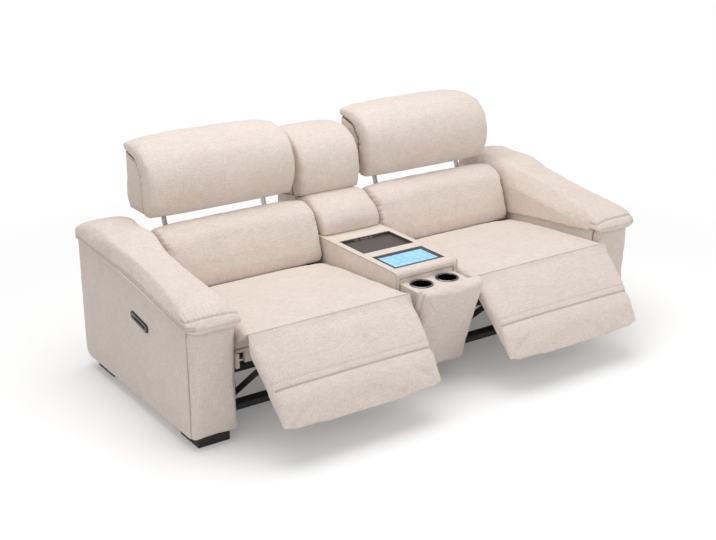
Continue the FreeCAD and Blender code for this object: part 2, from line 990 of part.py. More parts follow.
def centre_back_cushion():
    """Low back cushion behind the console, resting on the console top and the cover's ledge."""
    belly = "cover_front - centre_cushion_depth"
    crest = "cover_front - 0.46 * centre_cushion_depth"
    corners = [
        (f"{belly} + 5", "console_height + fit_gap", 12, 0),
        ("cover_front - fit_gap", "console_height + fit_gap", 4, 0),
        ("cover_front - fit_gap", head_floor("cover_front"), 5, 0),
        (crest, head_floor(crest), 60, 1),
        (
            "cover_front - 0.846 * centre_cushion_depth",
            "centre_head_height - 0.1 * centre_cushion_depth",
            60,
            1,
        ),
        (belly, "console_height + 0.21 * centre_cushion_depth", 60, 1),
    ]
    edge = "console_width / 2 - 4"
    keep(cushion("centre_low", corners, f"-({edge})", edge, "9"), "centre_back_cushion")


def head_point(across, up):
    """A point of a head cushion's cross-section, as shares of its depth and height."""
    return (f"{across} * headrest_depth", f"{up} * headrest_height")


# The seam where the front pad meets the back shell, from the foot to the rear edge
HEAD_SEAM = [
    head_point("-0.1", "0"),
    head_point("-0.086", "0.507"),
    head_point("0.079", "0.735"),
    head_point("0.493", "0.843"),
]


def head_pad_corners():
    """Cross-section of a head cushion's front pad, measured from its foot point."""
    foot, low, high, rear = HEAD_SEAM
    return [
        (*head_point("-0.384", "0"), 16, 0),
        (*foot, 4, 0),
        (*low, 60, 0),
        (*high, 60, 0),
        (*rear, 5, 1),
        (*head_point("0.541", "0.915"), 16, 1),
        (*head_point("0.435", "0.987"), 30, 1),
        (*head_point("0.147", "1"), 110, 1),
        (*head_point("-0.158", "0.948"), 60, 1),
        (*head_point("-0.384", "0.778"), 70, 1),
        (*head_point("-0.486", "0.549"), 90, 1),
        (*head_point("-0.486", "0.248"), 60, 1),
    ]


def head_shell_corners():
    """Cross-section of the back shell that the front pad rolls over, clear of it by the fitting gap."""
    foot, low, high, rear = HEAD_SEAM
    return [
        (f"{foot[0]} + fit_gap", foot[1], 4, 0),
        (*head_point("0.459", "0"), 26, 1),
        (*head_point("0.527", "0.15"), 70, 1),
        (*head_point("0.507", "0.539"), 90, 1),
        (f"{rear[0]} + fit_gap", f"{rear[1]} - fit_gap", 5, 0),
        (f"{high[0]} + fit_gap", f"{high[1]} - fit_gap", 60, 0),
        (f"{low[0]} + fit_gap", f"{low[1]} - fit_gap", 60, 0),
    ]


def centre_head():
    """Fixed head cushion in the middle, in two parts like the side ones."""
    at = ("0", "centre_head_y", "centre_head_height")
    edge = "(console_side + centre_head_proud)"
    for name, corners in (
        ("centre_head_pad", head_pad_corners()),
        ("centre_head_shell", head_shell_corners()),
    ):
        item = cushion(
            f"{name}_form", corners, f"-{edge}", edge, "centre_head_draw", at, "centre_head_lean"
        )
        keep(item, name)


# Control panels


def slot_plate(name, length, width, thick, offset):
    """A flat plate with round ends, standing out along -X."""
    body = doc.addObject("PartDesign::Body", name)
    sketch = sketch_on(body, "YZ_Plane", f"{name}_outline", offset)
    draw_slot(sketch, length, width)
    pad(body, sketch, thick)
    return body


def control_panels():
    """Switch panels on the arms' outer sides: housing, bright ring and four travelling buttons."""
    housing = slot_plate(
        "control_flange", "control_length", "control_width", "control_thick", "-control_thick"
    )
    rear = sketch_on(housing, "YZ_Plane", "control_rear")
    half = "(ring_length / 2 - fit_gap)"
    draw_polygon(rear, rectangle(f"-{half}", "-ring_width / 2", half, "ring_width / 2"))
    pad(housing, rear, "control_depth")
    for index in range(4):
        well = sketch_on(housing, "YZ_Plane", f"button_well_{index + 1}", "-control_thick")
        middle = f"({index} - 1.5) * button_pitch"
        reach = "(button_length / 2 + button_gap)"
        rise = "button_width / 2 + button_gap"
        draw_polygon(
            well, rectangle(f"{middle} - {reach}", f"-({rise})", f"{middle} + {reach}", rise)
        )
        pocket(housing, well, "control_thick + 6", reverse=True)
    place_on_arm(housing)
    keep(both_sides("housings", [housing]), "control_housings")
    ring = slot_plate(
        "ring_plate", "ring_length", "ring_width", "ring_thick", "-control_thick - ring_thick"
    )
    window = sketch_on(ring, "YZ_Plane", "ring_window", "-control_thick - ring_thick")
    draw_slot(window, "(ring_length - 2 * ring_band)", "(ring_width - 2 * ring_band)")
    pocket(ring, window, "ring_thick", reverse=True)
    place_on_arm(ring)
    keep(both_sides("rings", [ring]), "control_rings")
    for index in range(4):
        middle = f"({index} - 1.5) * button_pitch"
        button = slab(
            f"button_{index + 1}",
            rectangle(
                f"{middle} - button_length / 2",
                "-button_width / 2",
                f"{middle} + button_length / 2",
                "button_width / 2",
            ),
            "button_proud + control_thick + 4",
            offset="-control_thick - button_proud",
        )
        place_on_arm(button)
        keep_pair(button, f"control_button_{index + 1}")


# Cup drawer


def drawer_front_panel():
    """Padded front of the tilt-out drawer, built upright and then tilted open about its hinge."""
    panel = slab(
        "drawer_panel",
        rectangle("-drawer_face", "drawer_bottom", "drawer_thick - drawer_face", "drawer_top"),
        "drawer_width",
        midplane=True,
    )
    face = value("-drawer_face")
    top = value("drawer_top")
    round_edges(panel, "drawer_edge", lambda edge: lies_at(edge, 1, face) or lies_at(edge, 2, top))
    place(panel, "0", "hinge_y", "hinge_height", lean="drawer_open_angle", axis=Vector(1, 0, 0))
    keep(panel, "drawer_front_panel")


def on_panel(up):
    """A point on the open panel's inner face, measured from the hinge, at a height up the panel."""
    inner = "(drawer_thick - drawer_face)"
    return (
        f"{inner} * cos(drawer_open_angle) - {up} * sin(drawer_open_angle)",
        f"{inner} * sin(drawer_open_angle) + {up} * cos(drawer_open_angle)",
    )


def drawer_box():
    """Box behind the drawer front: two cheeks, a back board and the tray that holds the cups."""
    rise = "(drawer_tray - (drawer_thick - drawer_face) * sin(drawer_open_angle))"
    tray_front = on_panel(f"({rise} / cos(drawer_open_angle))")
    foot = on_panel("(drawer_bottom - 0.5)")
    half = "(console_width / 2 - wall - drawer_side_gap)"
    rear = "drawer_back + drawer_board"
    cheek = slab(
        "drawer_cheek",
        [
            ("-7", "-9"),
            ("9", "-9"),
            ("12", "0"),
            (rear, "drawer_tray - 90"),
            (rear, "drawer_tray + drawer_back_height"),
            ("drawer_back", "drawer_tray + drawer_back_height"),
            ("drawer_back", "drawer_tray"),
            (tray_front[0], "drawer_tray"),
            foot,
            ("-7", "7"),
        ],
        f"2 * {half}",
        midplane=True,
    )
    inside = sketch_on(cheek, "YZ_Plane", "drawer_inside")
    draw_polygon(
        inside,
        [
            ("-60", "-30"),
            ("drawer_back", "-30"),
            ("drawer_back", "drawer_tray - drawer_board"),
            ("-drawer_tray", "drawer_tray - drawer_board"),
        ],
    )
    pocket(cheek, inside, f"2 * {half} - 2 * drawer_board", midplane=True)
    behind = sketch_on(cheek, "YZ_Plane", "drawer_behind")
    draw_polygon(
        behind,
        rectangle("drawer_back - 1", "-30", "drawer_back + 2 * drawer_board", "drawer_tray - 90"),
    )
    pocket(cheek, behind, f"2 * {half} - 2 * drawer_board", midplane=True)
    bore = sketch_on(cheek, "YZ_Plane", "drawer_hinge_bore")
    draw_circle(bore, "0", "0", "hinge_pin + running_gap")
    pocket(cheek, bore, f"2 * {half} + 2", midplane=True)
    holes = sketch_on(cheek, "XY_Plane", "cup_holes", "drawer_tray")
    for side in ("-", ""):
        draw_circle(
            holes, f"{side}cup_spacing / 2", "-cup_forward", "cup_bore + cup_wall + fit_gap"
        )
    pocket(cheek, holes, "drawer_board + 1")
    place(cheek, "0", "hinge_y", "hinge_height")
    keep(cheek, "drawer_box")


def revolved(name, profile):
    """A body turned about the Z axis from a half outline of (radius, height) formulas."""
    body = doc.addObject("PartDesign::Body", name)
    sketch = sketch_on(body, "XZ_Plane", f"{name}_outline")
    draw_polygon(sketch, profile)
    turned = body.newObject("PartDesign::Revolution", f"{name}_turned")
    turned.Profile = sketch
    turned.ReferenceAxis = (sketch, ["V_Axis"])
    turned.Angle = 360
    return body


def cups():
    """Two cup liners let into the tray, each under a bright ring."""
    outer = "cup_bore + cup_wall"
    liner = revolved(
        "cup_liner",
        [
            ("0", "-cup_depth"),
            (outer, "-cup_depth"),
            (outer, "0"),
            ("cup_flange", "0"),
            ("cup_flange", "cup_flange_thick"),
            ("cup_bore", "cup_flange_thick"),
            ("cup_bore", "cup_wall - cup_depth"),
            ("0", "cup_wall - cup_depth"),
        ],
    )
    ring = revolved(
        "cup_ring_form",
        [
            ("cup_bore", "cup_flange_thick"),
            ("cup_ring - 2", "cup_flange_thick"),
            ("cup_ring", "cup_flange_thick + 1"),
            ("cup_ring - 2", "cup_flange_thick + cup_ring_thick"),
            ("cup_bore + 2", "cup_flange_thick + cup_ring_thick"),
        ],
    )
    for item, label in ((liner, "cup_liners"), (ring, "cup_rings")):
        place(item, "-cup_spacing / 2", "hinge_y - cup_forward", "hinge_height + drawer_tray")
        keep(both_sides(f"{label}_pair", [item]), label)


def drawer_hinges():
    """Hinge brackets on the console's inner walls, each with the pin that its cheek turns on."""
    wall_face = "(console_width / 2 - wall)"
    plate = slab(
        "hinge_plate",
        rectangle("-hinge_pin * 1.8", "-hinge_pin * 1.8", "hinge_pin * 12", "hinge_pin * 1.8"),
        "drawer_side_gap - 1",
    )
    place(plate, f"-{wall_face}", "hinge_y", "hinge_height")
    pin = cylinder(
        "hinge_pin_bar",
        "hinge_pin",
        "drawer_side_gap + drawer_board + 4",
        (f"-{wall_face}", "hinge_y", "hinge_height"),
        Vector(1, 0, 0),
    )
    keep(both_sides("hinges", [joined("hinge_bracket", [plate, pin])]), "drawer_hinge_pins")


# Seats


def seat_cushion():
    """Seat cushion: a flat bottom, a crowned top and a nose cut back for the leg rest."""
    corners = [
        ("nose_run + 14", "-seat_thick + fit_gap", 8, 0),
        ("seat_length - 12", "-seat_thick + fit_gap", 14, 0.2),
        ("seat_length", "-seat_fall - 2", 16, 1),
        ("seat_length * 0.72", "-seat_fall * 0.5", 400, 1),
        ("seat_length * 0.35", "-2", 400, 1),
        ("56", "6", 120, 1),
        ("2", "-1", 5, 0),
        ("nose_run", "-nose_drop", 20, 0),
    ]
    at = ("0", "seam", "seat_height")
    item = cushion(
        "seat_form", corners, "-seat_outer + 2", "-seat_inner - 2", "seat_draw", at
    )
    keep_pair(item, "seat_cushion")


def seat_box():
    """Fabric-covered box under the cushion: two sides, a deck and two cross boards."""
    width = "seat_outer - seat_inner"
    start = "seam + box_start"
    side_size = ("wall", "box_length", "box_height")
    board_width = f"{width} - 2 * box_board_inset"
    left = "-seat_outer + box_board_inset"
    board_size = (board_width, "wall", "box_height")
    boards = [
        box("outer_side", ("-seat_outer", start, "box_floor"), side_size),
        box("inner_side", ("-seat_inner - wall", start, "box_floor"), side_size),
        box(
            "deck",
            ("-seat_outer", f"{start} + box_board_start", "deck_floor"),
            (width, "box_length - box_board_start", "deck_thick"),
        ),
        box("front_board", (left, f"{start} + box_board_start", "box_floor"), board_size),
        box("rear_board", (left, f"{start} + box_length - wall", "box_floor"), board_size),
    ]
    keep_pair(joined("seat_box_form", boards), "seat_box")


def side_plates():
    """Steel side plates of one seat, with bores for the drive tube."""
    rail_z = "rail_top + fit_gap - seat_height"
    under_deck = "deck_floor - seat_height"
    outline = [
        ("box_start + 40", under_deck),
        ("link_run - 40", "-link_drop - 50"),
        ("link_run + 30", rail_z),
        ("pivot_back - 100", rail_z),
        ("pivot_back - 50", "-link_drop - 20"),
        ("pivot_back + 14", "-pivot_drop - 22"),
        ("pivot_back + 14", "-pivot_drop + 7"),
        ("pivot_back - 14", "-pivot_drop + 13"),
        ("box_start + box_length", under_deck),
    ]
    plates = []
    for name, face in (("outer_side_plate", "outer_plate"), ("inner_side_plate", "inner_plate")):
        plate = slab(name, outline, "plate_thick")
        bore = sketch_on(plate, "YZ_Plane", f"{name}_bore")
        draw_circle(bore, "link_run", "-link_drop", "tube_radius + running_gap")
        pocket(plate, bore, "plate_thick", reverse=True)
        place(plate, f"-{face}", "seam", "seat_height")
        plates.append(plate)
    return plates


def seat_mechanism():
    """What moves with the seat: side plates, cross bar, drive rod and the back's pivot pins."""
    inner_face = "(inner_plate - plate_thick)"
    bar_y = "seam + bar_start"
    bar = tube_along_x(
        "cross_bar",
        ("-outer_plate + plate_thick", bar_y, "bar_height"),
        ("outer_plate - plate_thick - inner_plate", "bar_size", "bar_size"),
    )
    rod = cylinder(
        "drive_rod",
        "rod_radius",
        "rod_length",
        ("-seat_middle", f"{bar_y} + bar_size", "bar_height + bar_size / 2"),
        Vector(0, 1, 0),
    )
    reach = "(2 * link_gap + plate_thick + 2)"
    pins = []
    for name, start in (
        ("outer_pivot_pin", "-outer_plate + plate_thick"),
        ("inner_pivot_pin", f"-inner_plate - {reach}"),
    ):
        pins.append(cylinder(name, "pivot_pin", reach, (start, "pivot_y", "pivot_z"), Vector(1, 0, 0)))
    keep_pair(group("mechanism", side_plates() + [bar, rod] + pins), "seat_mechanism")


def mechanism_layer(number):
    """X planes of the flat parts inside the side plates, on the outer and the inner side."""
    outer = f"-outer_plate + plate_thick + link_gap + {number} * (link_thick + link_gap)"
    inner = f"-inner_plate - link_gap - {number} * (link_thick + link_gap) - link_thick"
    return (("outer", outer), ("inner", inner))


def flat_bar(name, start, end, width):
    """A flat bar between two points of the YZ plane, reaching half its width past each."""
    (start_y, start_z), (end_y, end_z) = start, end
    long = f"sqrt(pow({end_y} - {start_y}; 2) + pow({end_z} - {start_z}; 2))"
    along = (f"({end_y} - {start_y}) / {long}", f"({end_z} - {start_z}) / {long}")
    half = f"{width} / 2"
    corners = []
    for base, sign in ((start, "-"), (end, "")):
        sides = ("", "-") if sign == "-" else ("-", "")
        for side in sides:
            y = f"{base[0]} + {sign}{half} * {along[0]} - {side}{half} * {along[1]}"
            z = f"{base[1]} + {sign}{half} * {along[1]} + {side}{half} * {along[0]}"
            corners.append((y, z))
    return slab(name, corners, "link_thick")


def drive_tubes():
    """Turning tube with two cranks, which pushes the leg rest out through the links."""
    tube = cylinder(
        "drive_tube_bar",
        "tube_radius",
        "outer_plate - inner_plate + plate_thick + 6",
        ("-outer_plate - 3", "seam + link_run", "seat_height - link_drop"),
        Vector(1, 0, 0),
    )
    parts = [tube]
    pin_length = "2 * link_thick + link_gap"
    for side, x in mechanism_layer(0):
        crank = flat_bar(
            f"{side}_crank", ("0", "0"), ("arm_depth_below", "-arm_reach"), "link_width"
        )
        place(crank, x, "seam + link_run", "seat_height - link_drop", lean="legrest_out_angle")
        pin_start = x if side == "outer" else f"{x} - link_thick - link_gap"
        pin = cylinder(
            f"{side}_crank_pin",
            "link_pin",
            pin_length,
            (pin_start, "seam + link_run + pin_y", "seat_height - link_drop + pin_z"),
            Vector(1, 0, 0),
        )
        parts += [crank, pin]
    keep_pair(joined("drive_tube_form", parts), "drive_tube")


def legrest_links():
    """Links from the cranks to the leg rest's brackets, parallel at every position."""
    links = []
    for side, x in mechanism_layer(1):
        link = flat_bar(
            f"{side}_link", ("0", "0"), ("link_run", "-link_drop"), "link_width"
        )
        bores = sketch_on(link, "YZ_Plane", f"{side}_link_bores")
        draw_circle(bores, "0", "0", "link_pin + open_pivot_gap")
        draw_circle(bores, "link_run", "-link_drop", "link_pin + running_gap")
        pocket(link, bores, "link_thick", reverse=True)
        place(link, x, "seam + pin_y", "seat_height + pin_z")
        links.append(link)
    keep_pair(group("links", links), "legrest_links")


def legrest_brackets():
    """Brackets on the leg rest's back, each with the pin that its link pushes on."""
    outline = [
        ("legrest_thick", "-arm_reach + 50"),
        ("legrest_thick", "-arm_reach - 100"),
        ("arm_depth_below + 12", "-arm_reach - 15"),
        ("arm_depth_below + 12", "-arm_reach + 15"),
    ]
    brackets = []
    for side, x in mechanism_layer(2):
        plate = slab(f"{side}_bracket", outline, "link_thick")
        place(plate, x, "seam", "seat_height", lean="legrest_out_angle")
        reach = "link_thick + link_gap"
        pin_start = f"{x} - {reach}" if side == "outer" else f"{x} + link_thick"
        pin = cylinder(
            f"{side}_bracket_pin",
            "link_pin",
            reach,
            (pin_start, "seam + pin_y", "seat_height + pin_z"),
            Vector(1, 0, 0),
        )
        brackets.append(joined(f"{side}_bracket_form", [plate, pin]))
    keep_pair(group("brackets", brackets), "legrest_brackets")


def actuator_motors():
    """Drive motors on the rear member, each with the tube that its rod slides in."""
    axis_z = "bar_height + bar_size / 2"
    start = "front + motor_start"
    tube = cylinder(
        "motor_tube", "motor_tube_radius", "motor_tube_length", ("-seat_middle", start, axis_z),
        Vector(0, 1, 0),
    )
    gearbox = box(
        "gearbox",
        ("-seat_middle - motor_width / 2", f"{start} + motor_tube_length", "console_floor"),
        ("motor_width", "motor_length", "motor_height"),
    )
    bore = cylinder(
        "motor_bore",
        "rod_radius + running_gap",
        "motor_tube_length",
        ("-seat_middle", f"{start} - 1", axis_z),
        Vector(0, 1, 0),
    )
    motor = cut("motor_form", joined("motor_body", [tube, gearbox]), bore)
    keep(both_sides("motors", [motor]), "actuator_motors")


def legrest_cushion():
    """Leg rest pad: a long panel, a sewn crease and a fuller end, built hanging and then swung out."""
    edge = "legrest_thick - fit_gap"
    corners = [
        (edge, "-54", 8, 0),
        ("3", "-4", 4, 1),
        ("-5", "-80", 200, 1),
        ("-5", "-legrest_crease + 56", 200, 1),
        ("2", "-legrest_crease + 6", 14, 1),
        ("9", "-legrest_crease", 4, 1),
        ("4", "-legrest_crease - 8", 14, 1),
        ("22", "-legrest_crease - 92", 120, 1),
        ("46", "-legrest_length", 22, 1),
        (edge, "-legrest_length + 10", 10, 0),
    ]
    at = ("0", "seam", "seat_height")
    item = cushion(
        "legrest_form",
        corners,
        "-legrest_outer",
        "-legrest_inner",
        "legrest_draw",
        at,
        "legrest_out_angle",
    )
    keep_pair(item, "legrest_cushion")


# Backs and headrests


def back_cushion():
    """Low back cushion: flat against its shell, full in front, lapping over the shell's top."""
    rear = "back_front - fit_gap"
    top = "back_top + back_cushion_rise"
    belly = "-back_cushion_belly"
    corners = [
        (f"{belly} + 23", "back_cushion_foot", 22, 0),
        (rear, "back_cushion_foot", 8, 0),
        (rear, "back_top + fit_gap", 0.4, 0),
        (f"{rear} + 32", "back_top + fit_gap", 6, 1),
        (f"{rear} + 32", f"{top} - 24", 24, 1),
        (f"{rear} - 12", top, 40, 1),
        ("-20", f"{top} - 4", 60, 1),
        (f"{belly} + 13", "back_top - 12", 70, 1),
        (belly, "back_top * 0.55", 200, 1),
        (f"{belly} + 9", "back_cushion_foot + 23", 60, 1),
    ]
    item = cushion(
        "back_form",
        corners,
        "-back_outer",
        "-back_inner",
        "back_draw",
        ("0", "pivot_y", "pivot_z"),
        "back_lean",
    )
    keep_pair(item, "back_cushion")


def back_shell():
    """Upholstered back frame: open in front under the cushion, with slots for the headrest bars."""
    rear = "back_front + back_thick"
    shell = slab(
        "back_block",
        [
            ("back_front", "-back_foot"),
            (rear, "-back_foot"),
            (rear, "back_top - 14"),
            (f"{rear} - 14", "back_top"),
            ("back_front", "back_top"),
        ],
        "back_outer - back_inner",
    )
    hollow = sketch_on(shell, "XZ_Plane", "back_hollow", "-back_front")
    draw_polygon(
        hollow,
        rectangle(
            "back_post",
            "-back_foot + back_post",
            "back_outer - back_inner - back_post",
            "back_top - back_rail",
        ),
    )
    pocket(shell, hollow, "back_thick - back_skin")
    slots = sketch_on(shell, "XY_Plane", "bar_slots", "back_top")
    for side in ("-", "+"):
        middle = f"back_outer - headrest_middle {side} bar_spacing / 2"
        across = "(bar_width / 2 + fit_gap)"
        deep = "(bar_thick / 2 + fit_gap)"
        draw_polygon(
            slots,
            rectangle(
                f"{middle} - {across}",
                f"bar_back - {deep}",
                f"{middle} + {across}",
                f"bar_back + {deep}",
            ),
        )
    pocket(shell, slots, "back_rail + 1")
    place(shell, "-back_outer", "pivot_y", "pivot_z", lean="back_lean")
    keep_pair(shell, "back_shell")


def back_brackets():
    """Brackets that carry the back on the seat's pivot pins."""
    outline = [
        ("-bracket_lug", "-bracket_lug"),
        ("3 * bracket_lug", "-bracket_drop"),
        ("back_front", "-bracket_drop"),
        ("back_front", "back_cushion_foot - 4"),
        ("-bracket_lug", "back_cushion_foot - 4"),
    ]
    brackets = []
    for name, x in (
        ("outer_back_bracket", "-outer_plate + plate_thick + link_gap"),
        ("inner_back_bracket", "-inner_plate - link_gap - plate_thick"),
    ):
        plate = slab(name, outline, "plate_thick")
        bore = sketch_on(plate, "YZ_Plane", f"{name}_bore")
        draw_circle(bore, "0", "0", "pivot_pin + running_gap")
        pocket(plate, bore, "plate_thick", reverse=True)
        place(plate, x, "pivot_y", "pivot_z", lean="back_lean")
        brackets.append(plate)
    keep_pair(group("back_bracket_group", brackets), "back_brackets")


def headrests():
    """Side headrests: front pad, back shell and the two flat bars that they slide on."""
    bars = []
    holes = []
    for side in ("-", "+"):
        name = "outer" if side == "-" else "inner"
        half = "bar_width / 2"
        near = "bar_back - bar_thick / 2"
        far = "bar_back + bar_thick / 2"
        bar = slab(
            f"{name}_bar",
            [
                (f"-{half}", near),
                ("-bar_groove / 2", near),
                ("-bar_groove / 2", f"{near} + 2"),
                ("bar_groove / 2", f"{near} + 2"),
                ("bar_groove / 2", near),
                (half, near),
                (half, far),
                (f"-{half}", far),
            ],
            "headrest_rise + bar_engage - bar_foot",
            role="XY_Plane",
            offset="bar_foot",
        )
        hole = slab(
            f"{name}_bar_hole",
            rectangle(f"-{half} - 0.1", f"{near} - 0.1", f"{half} + 0.1", f"{far} + 0.1"),
            "bar_engage + 60.1",
            role="XY_Plane",
            offset="headrest_rise - 60",
        )
        for item in (bar, hole):
            x = f"-headrest_middle {side} bar_spacing / 2"
            place(item, x, "pivot_y", "pivot_z", lean="back_lean")
        bars.append(bar)
        holes.append(hole)
    keep_pair(group("bar_pair", bars), "headrest_bars")
    at = ("0", "headrest_y", "headrest_z")
    low, high = "-headrest_outer", "-headrest_inner"
    head_pad = cushion("head_pad", head_pad_corners(), low, high, "headrest_draw", at)
    keep_pair(head_pad, "headrest_pad")
    shell = cushion("head_shell", head_shell_corners(), low, high, "headrest_draw", at)
    keep_pair(cut("head_shell_cut", shell, group("bar_holes", holes)), "headrest_shell")


def check_document():
    """Stop if any object failed, or any piece has no sound shape."""
    for item in doc.Objects:
        if "Invalid" in item.State or "Error" in item.State:
            raise RuntimeError(f"{item.Label} failed: {item.State}")
    for piece in PIECES:
        if piece.Shape.isNull() or not piece.Shape.isValid() or not piece.Shape.Solids:
            raise RuntimeError(f"{piece.Label} has no sound solid")


def build():
    arm_shells()
    arm_front_panels()
    arm_pads()
    timber_frames()
    feet()
    base_frame()
    console_shell()
    storage_tray()
    charging_sockets()
    display()
    centre_back_cover()
    power_supply()
    centre_back_cushion()
    centre_head()
    control_panels()
    drawer_front_panel()
    drawer_box()
    cups()
    drawer_hinges()
    seat_cushion()
    seat_box()
    seat_mechanism()
    drive_tubes()
    legrest_links()
    legrest_brackets()
    actuator_motors()
    legrest_cushion()
    back_cushion()
    back_shell()
    back_brackets()
    headrests()
    doc.recompute()


def write_pieces():
    os.makedirs("parts", exist_ok=True)
    for piece in PIECES:
        piece.Shape.exportStep(f"parts/{piece.Label}.step")
        print(f"{piece.Label}: {len(piece.Shape.Solids)} solid, {piece.Shape.Volume / 1e6:.3f} litres")


build()
check_document()
write_pieces()
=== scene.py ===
"""Looks of the two-seat motion sofa: padded covers, board covers, finishes, floor, light and camera.

Metres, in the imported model's frame: +X to the right as seen from the front, -Y to the front, +Z up.
Every padded cover starts from the solid that it stands for, swells in a cloth simulation and then gets
its seams and gathers. Covers of the left side are made first and mirrored for the right side.
"""

import logging
import math
from dataclasses import dataclass, field
from enum import Enum
from typing import Callable, Optional, Sequence, Union

import bmesh
import bpy
import numpy as np
from mathutils import Matrix, Vector


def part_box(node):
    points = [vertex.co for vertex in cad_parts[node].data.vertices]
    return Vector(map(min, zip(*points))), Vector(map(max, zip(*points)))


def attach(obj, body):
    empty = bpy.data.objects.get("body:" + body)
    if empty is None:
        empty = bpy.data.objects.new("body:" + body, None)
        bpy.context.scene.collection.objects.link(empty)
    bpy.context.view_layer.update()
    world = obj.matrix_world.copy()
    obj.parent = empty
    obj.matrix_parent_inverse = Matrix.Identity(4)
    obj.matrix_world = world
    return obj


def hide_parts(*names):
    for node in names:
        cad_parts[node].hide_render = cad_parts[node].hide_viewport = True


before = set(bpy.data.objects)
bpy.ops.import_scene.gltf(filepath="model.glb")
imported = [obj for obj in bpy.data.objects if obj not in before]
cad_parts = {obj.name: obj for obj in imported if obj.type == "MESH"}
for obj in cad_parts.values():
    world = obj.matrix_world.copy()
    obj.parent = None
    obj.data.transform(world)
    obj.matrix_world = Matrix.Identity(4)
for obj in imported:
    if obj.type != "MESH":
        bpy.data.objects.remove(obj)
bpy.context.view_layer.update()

LOG = logging.getLogger("sofa")
MM = 0.001

# Vertices nearer than WELD are one, edges under FLAT go and edges over SHARP stay sharp
WELD = 1e-5
FLAT = math.radians(0.5)
SHARP = math.radians(35)

# The cloth settles up to this frame
LAST_FRAME = 20

# Places that several pieces share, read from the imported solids
SEAM_Y = -0.447
SEAM_Z = 0.465
PIVOT = (0.253, 0.372)
HEAD_FOOT = (0.4877, 0.683)
CENTRE_HEAD_FOOT = (0.4933, 0.636)
BACK_LEAN = math.radians(19)
CENTRE_LEAN = math.radians(9)
LEGREST_ANGLE = math.radians(46)
HEAD_DEPTH = 0.292
HEAD_HEIGHT = 0.306

# Added to a distance, it puts a vertex beyond every gather
OUT_OF_REACH = 0.2

# A mask reads rows of vertex positions and of normals, a measure or spread the positions alone
Points = np.ndarray
Mask = Callable[[Points, Points], np.ndarray]
Measure = Callable[[Points], np.ndarray]
Spread = Callable[[Points], tuple[np.ndarray, np.ndarray]]
Section = tuple[float, float]
Tree = bpy.types.NodeTree
Socket = bpy.types.NodeSocket
Colour = tuple[float, float, float, float]
Value = Union[float, Colour, Socket]


class Side(Enum):
    """The two seats and arms, as seen from the front."""

    LEFT = "left"
    RIGHT = "right"


class Edge(Enum):
    """Which edges of a board cover are eased."""

    ALL = "all"
    OUTSIDE = "outside"


def linear(hex_colour: str) -> Colour:
    """Turn an sRGB hex colour into linear red, green, blue and alpha.

    Args:
        hex_colour: Six hex digits, such as "E1D4CA".

    Returns:
        The linear colour with an alpha of 1.
    """
    channels = []
    for start in (0, 2, 4):
        value = int(hex_colour[start:start + 2], 16) / 255
        channels.append(value / 12.92 if value <= 0.04045 else ((value + 0.055) / 1.055) ** 2.4)
    return (*channels, 1.0)


def add_node(
    tree: Tree, kind: str, inputs: Optional[dict[Union[str, int], Value]] = None, **settings: str
) -> bpy.types.Node:
    """Add a shader node with its settings, and its inputs set or linked.

    Args:
        tree: The material's or world's node tree.
        kind: The node's type name.
        inputs: Input name or number to a value, or to the output socket to link.
        settings: Properties of the node.

    Returns:
        The new node.
    """
    node = tree.nodes.new(kind)
    for name, setting in settings.items():
        setattr(node, name, setting)
    for key, value in (inputs or {}).items():
        if isinstance(value, bpy.types.NodeSocket):
            tree.links.new(value, node.inputs[key])
        else:
            node.inputs[key].default_value = value
    return node


def start_material(name: str) -> tuple[bpy.types.Material, Tree, Socket]:
    """Start an empty node material.

    Args:
        name: The material's name.

    Returns:
        The material, its node tree and its object coordinates.
    """
    material = bpy.data.materials.new(name)
    material.use_nodes = True
    tree = material.node_tree
    tree.nodes.clear()
    coordinates = add_node(tree, "ShaderNodeTexCoord")
    return material, tree, coordinates.outputs["Object"]


def end_material(tree: Tree, inputs: dict[str, Value]) -> bpy.types.Node:
    """Finish a material with one Principled shader.

    Args:
        tree: The material's node tree.
        inputs: The shader's inputs, as for add_node.

    Returns:
        The shader node.
    """
    shader = add_node(tree, "ShaderNodeBsdfPrincipled", inputs)
    add_node(tree, "ShaderNodeOutputMaterial", {"Surface": shader.outputs["BSDF"]})
    return shader


def noise(
    tree: Tree,
    coordinates: Socket,
    cell: float,
    stretch: tuple[float, float, float] = (1.0, 1.0, 1.0),
    detail: float = 2.0,
) -> Socket:
    """Add a noise pattern whose cells have a real size.

    Args:
        tree: The material's node tree.
        coordinates: The coordinates to read.
        cell: The size of one cell in metres.
        stretch: How many times longer a cell is along each axis.
        detail: The noise's detail.

    Returns:
        The pattern's value from 0 to 1.
    """
    scale = tuple(1 / (cell * factor) for factor in stretch)
    mapped = add_node(tree, "ShaderNodeMapping", {"Vector": coordinates, "Scale": scale})
    pattern = add_node(
        tree, "ShaderNodeTexNoise", {"Vector": mapped.outputs[0], "Scale": 1.0, "Detail": detail}
    )
    return pattern.outputs["Fac"]


def combine(tree: Tree, operation: str, first: Value, second: Value) -> Socket:
    """Combine two values or sockets with one arithmetic node and return its output."""
    return add_node(tree, "ShaderNodeMath", {0: first, 1: second}, operation=operation).outputs[0]


def ramp(
    tree: Tree, value: Socket, low: float, high: float, to_low: float = 0.0, to_high: float = 1.0
) -> Socket:
    """Map a value from one range to another, clamped, and return the new value."""
    inputs = {"Value": value, "From Min": low, "From Max": high, "To Min": to_low, "To Max": to_high}
    return add_node(tree, "ShaderNodeMapRange", inputs).outputs["Result"]


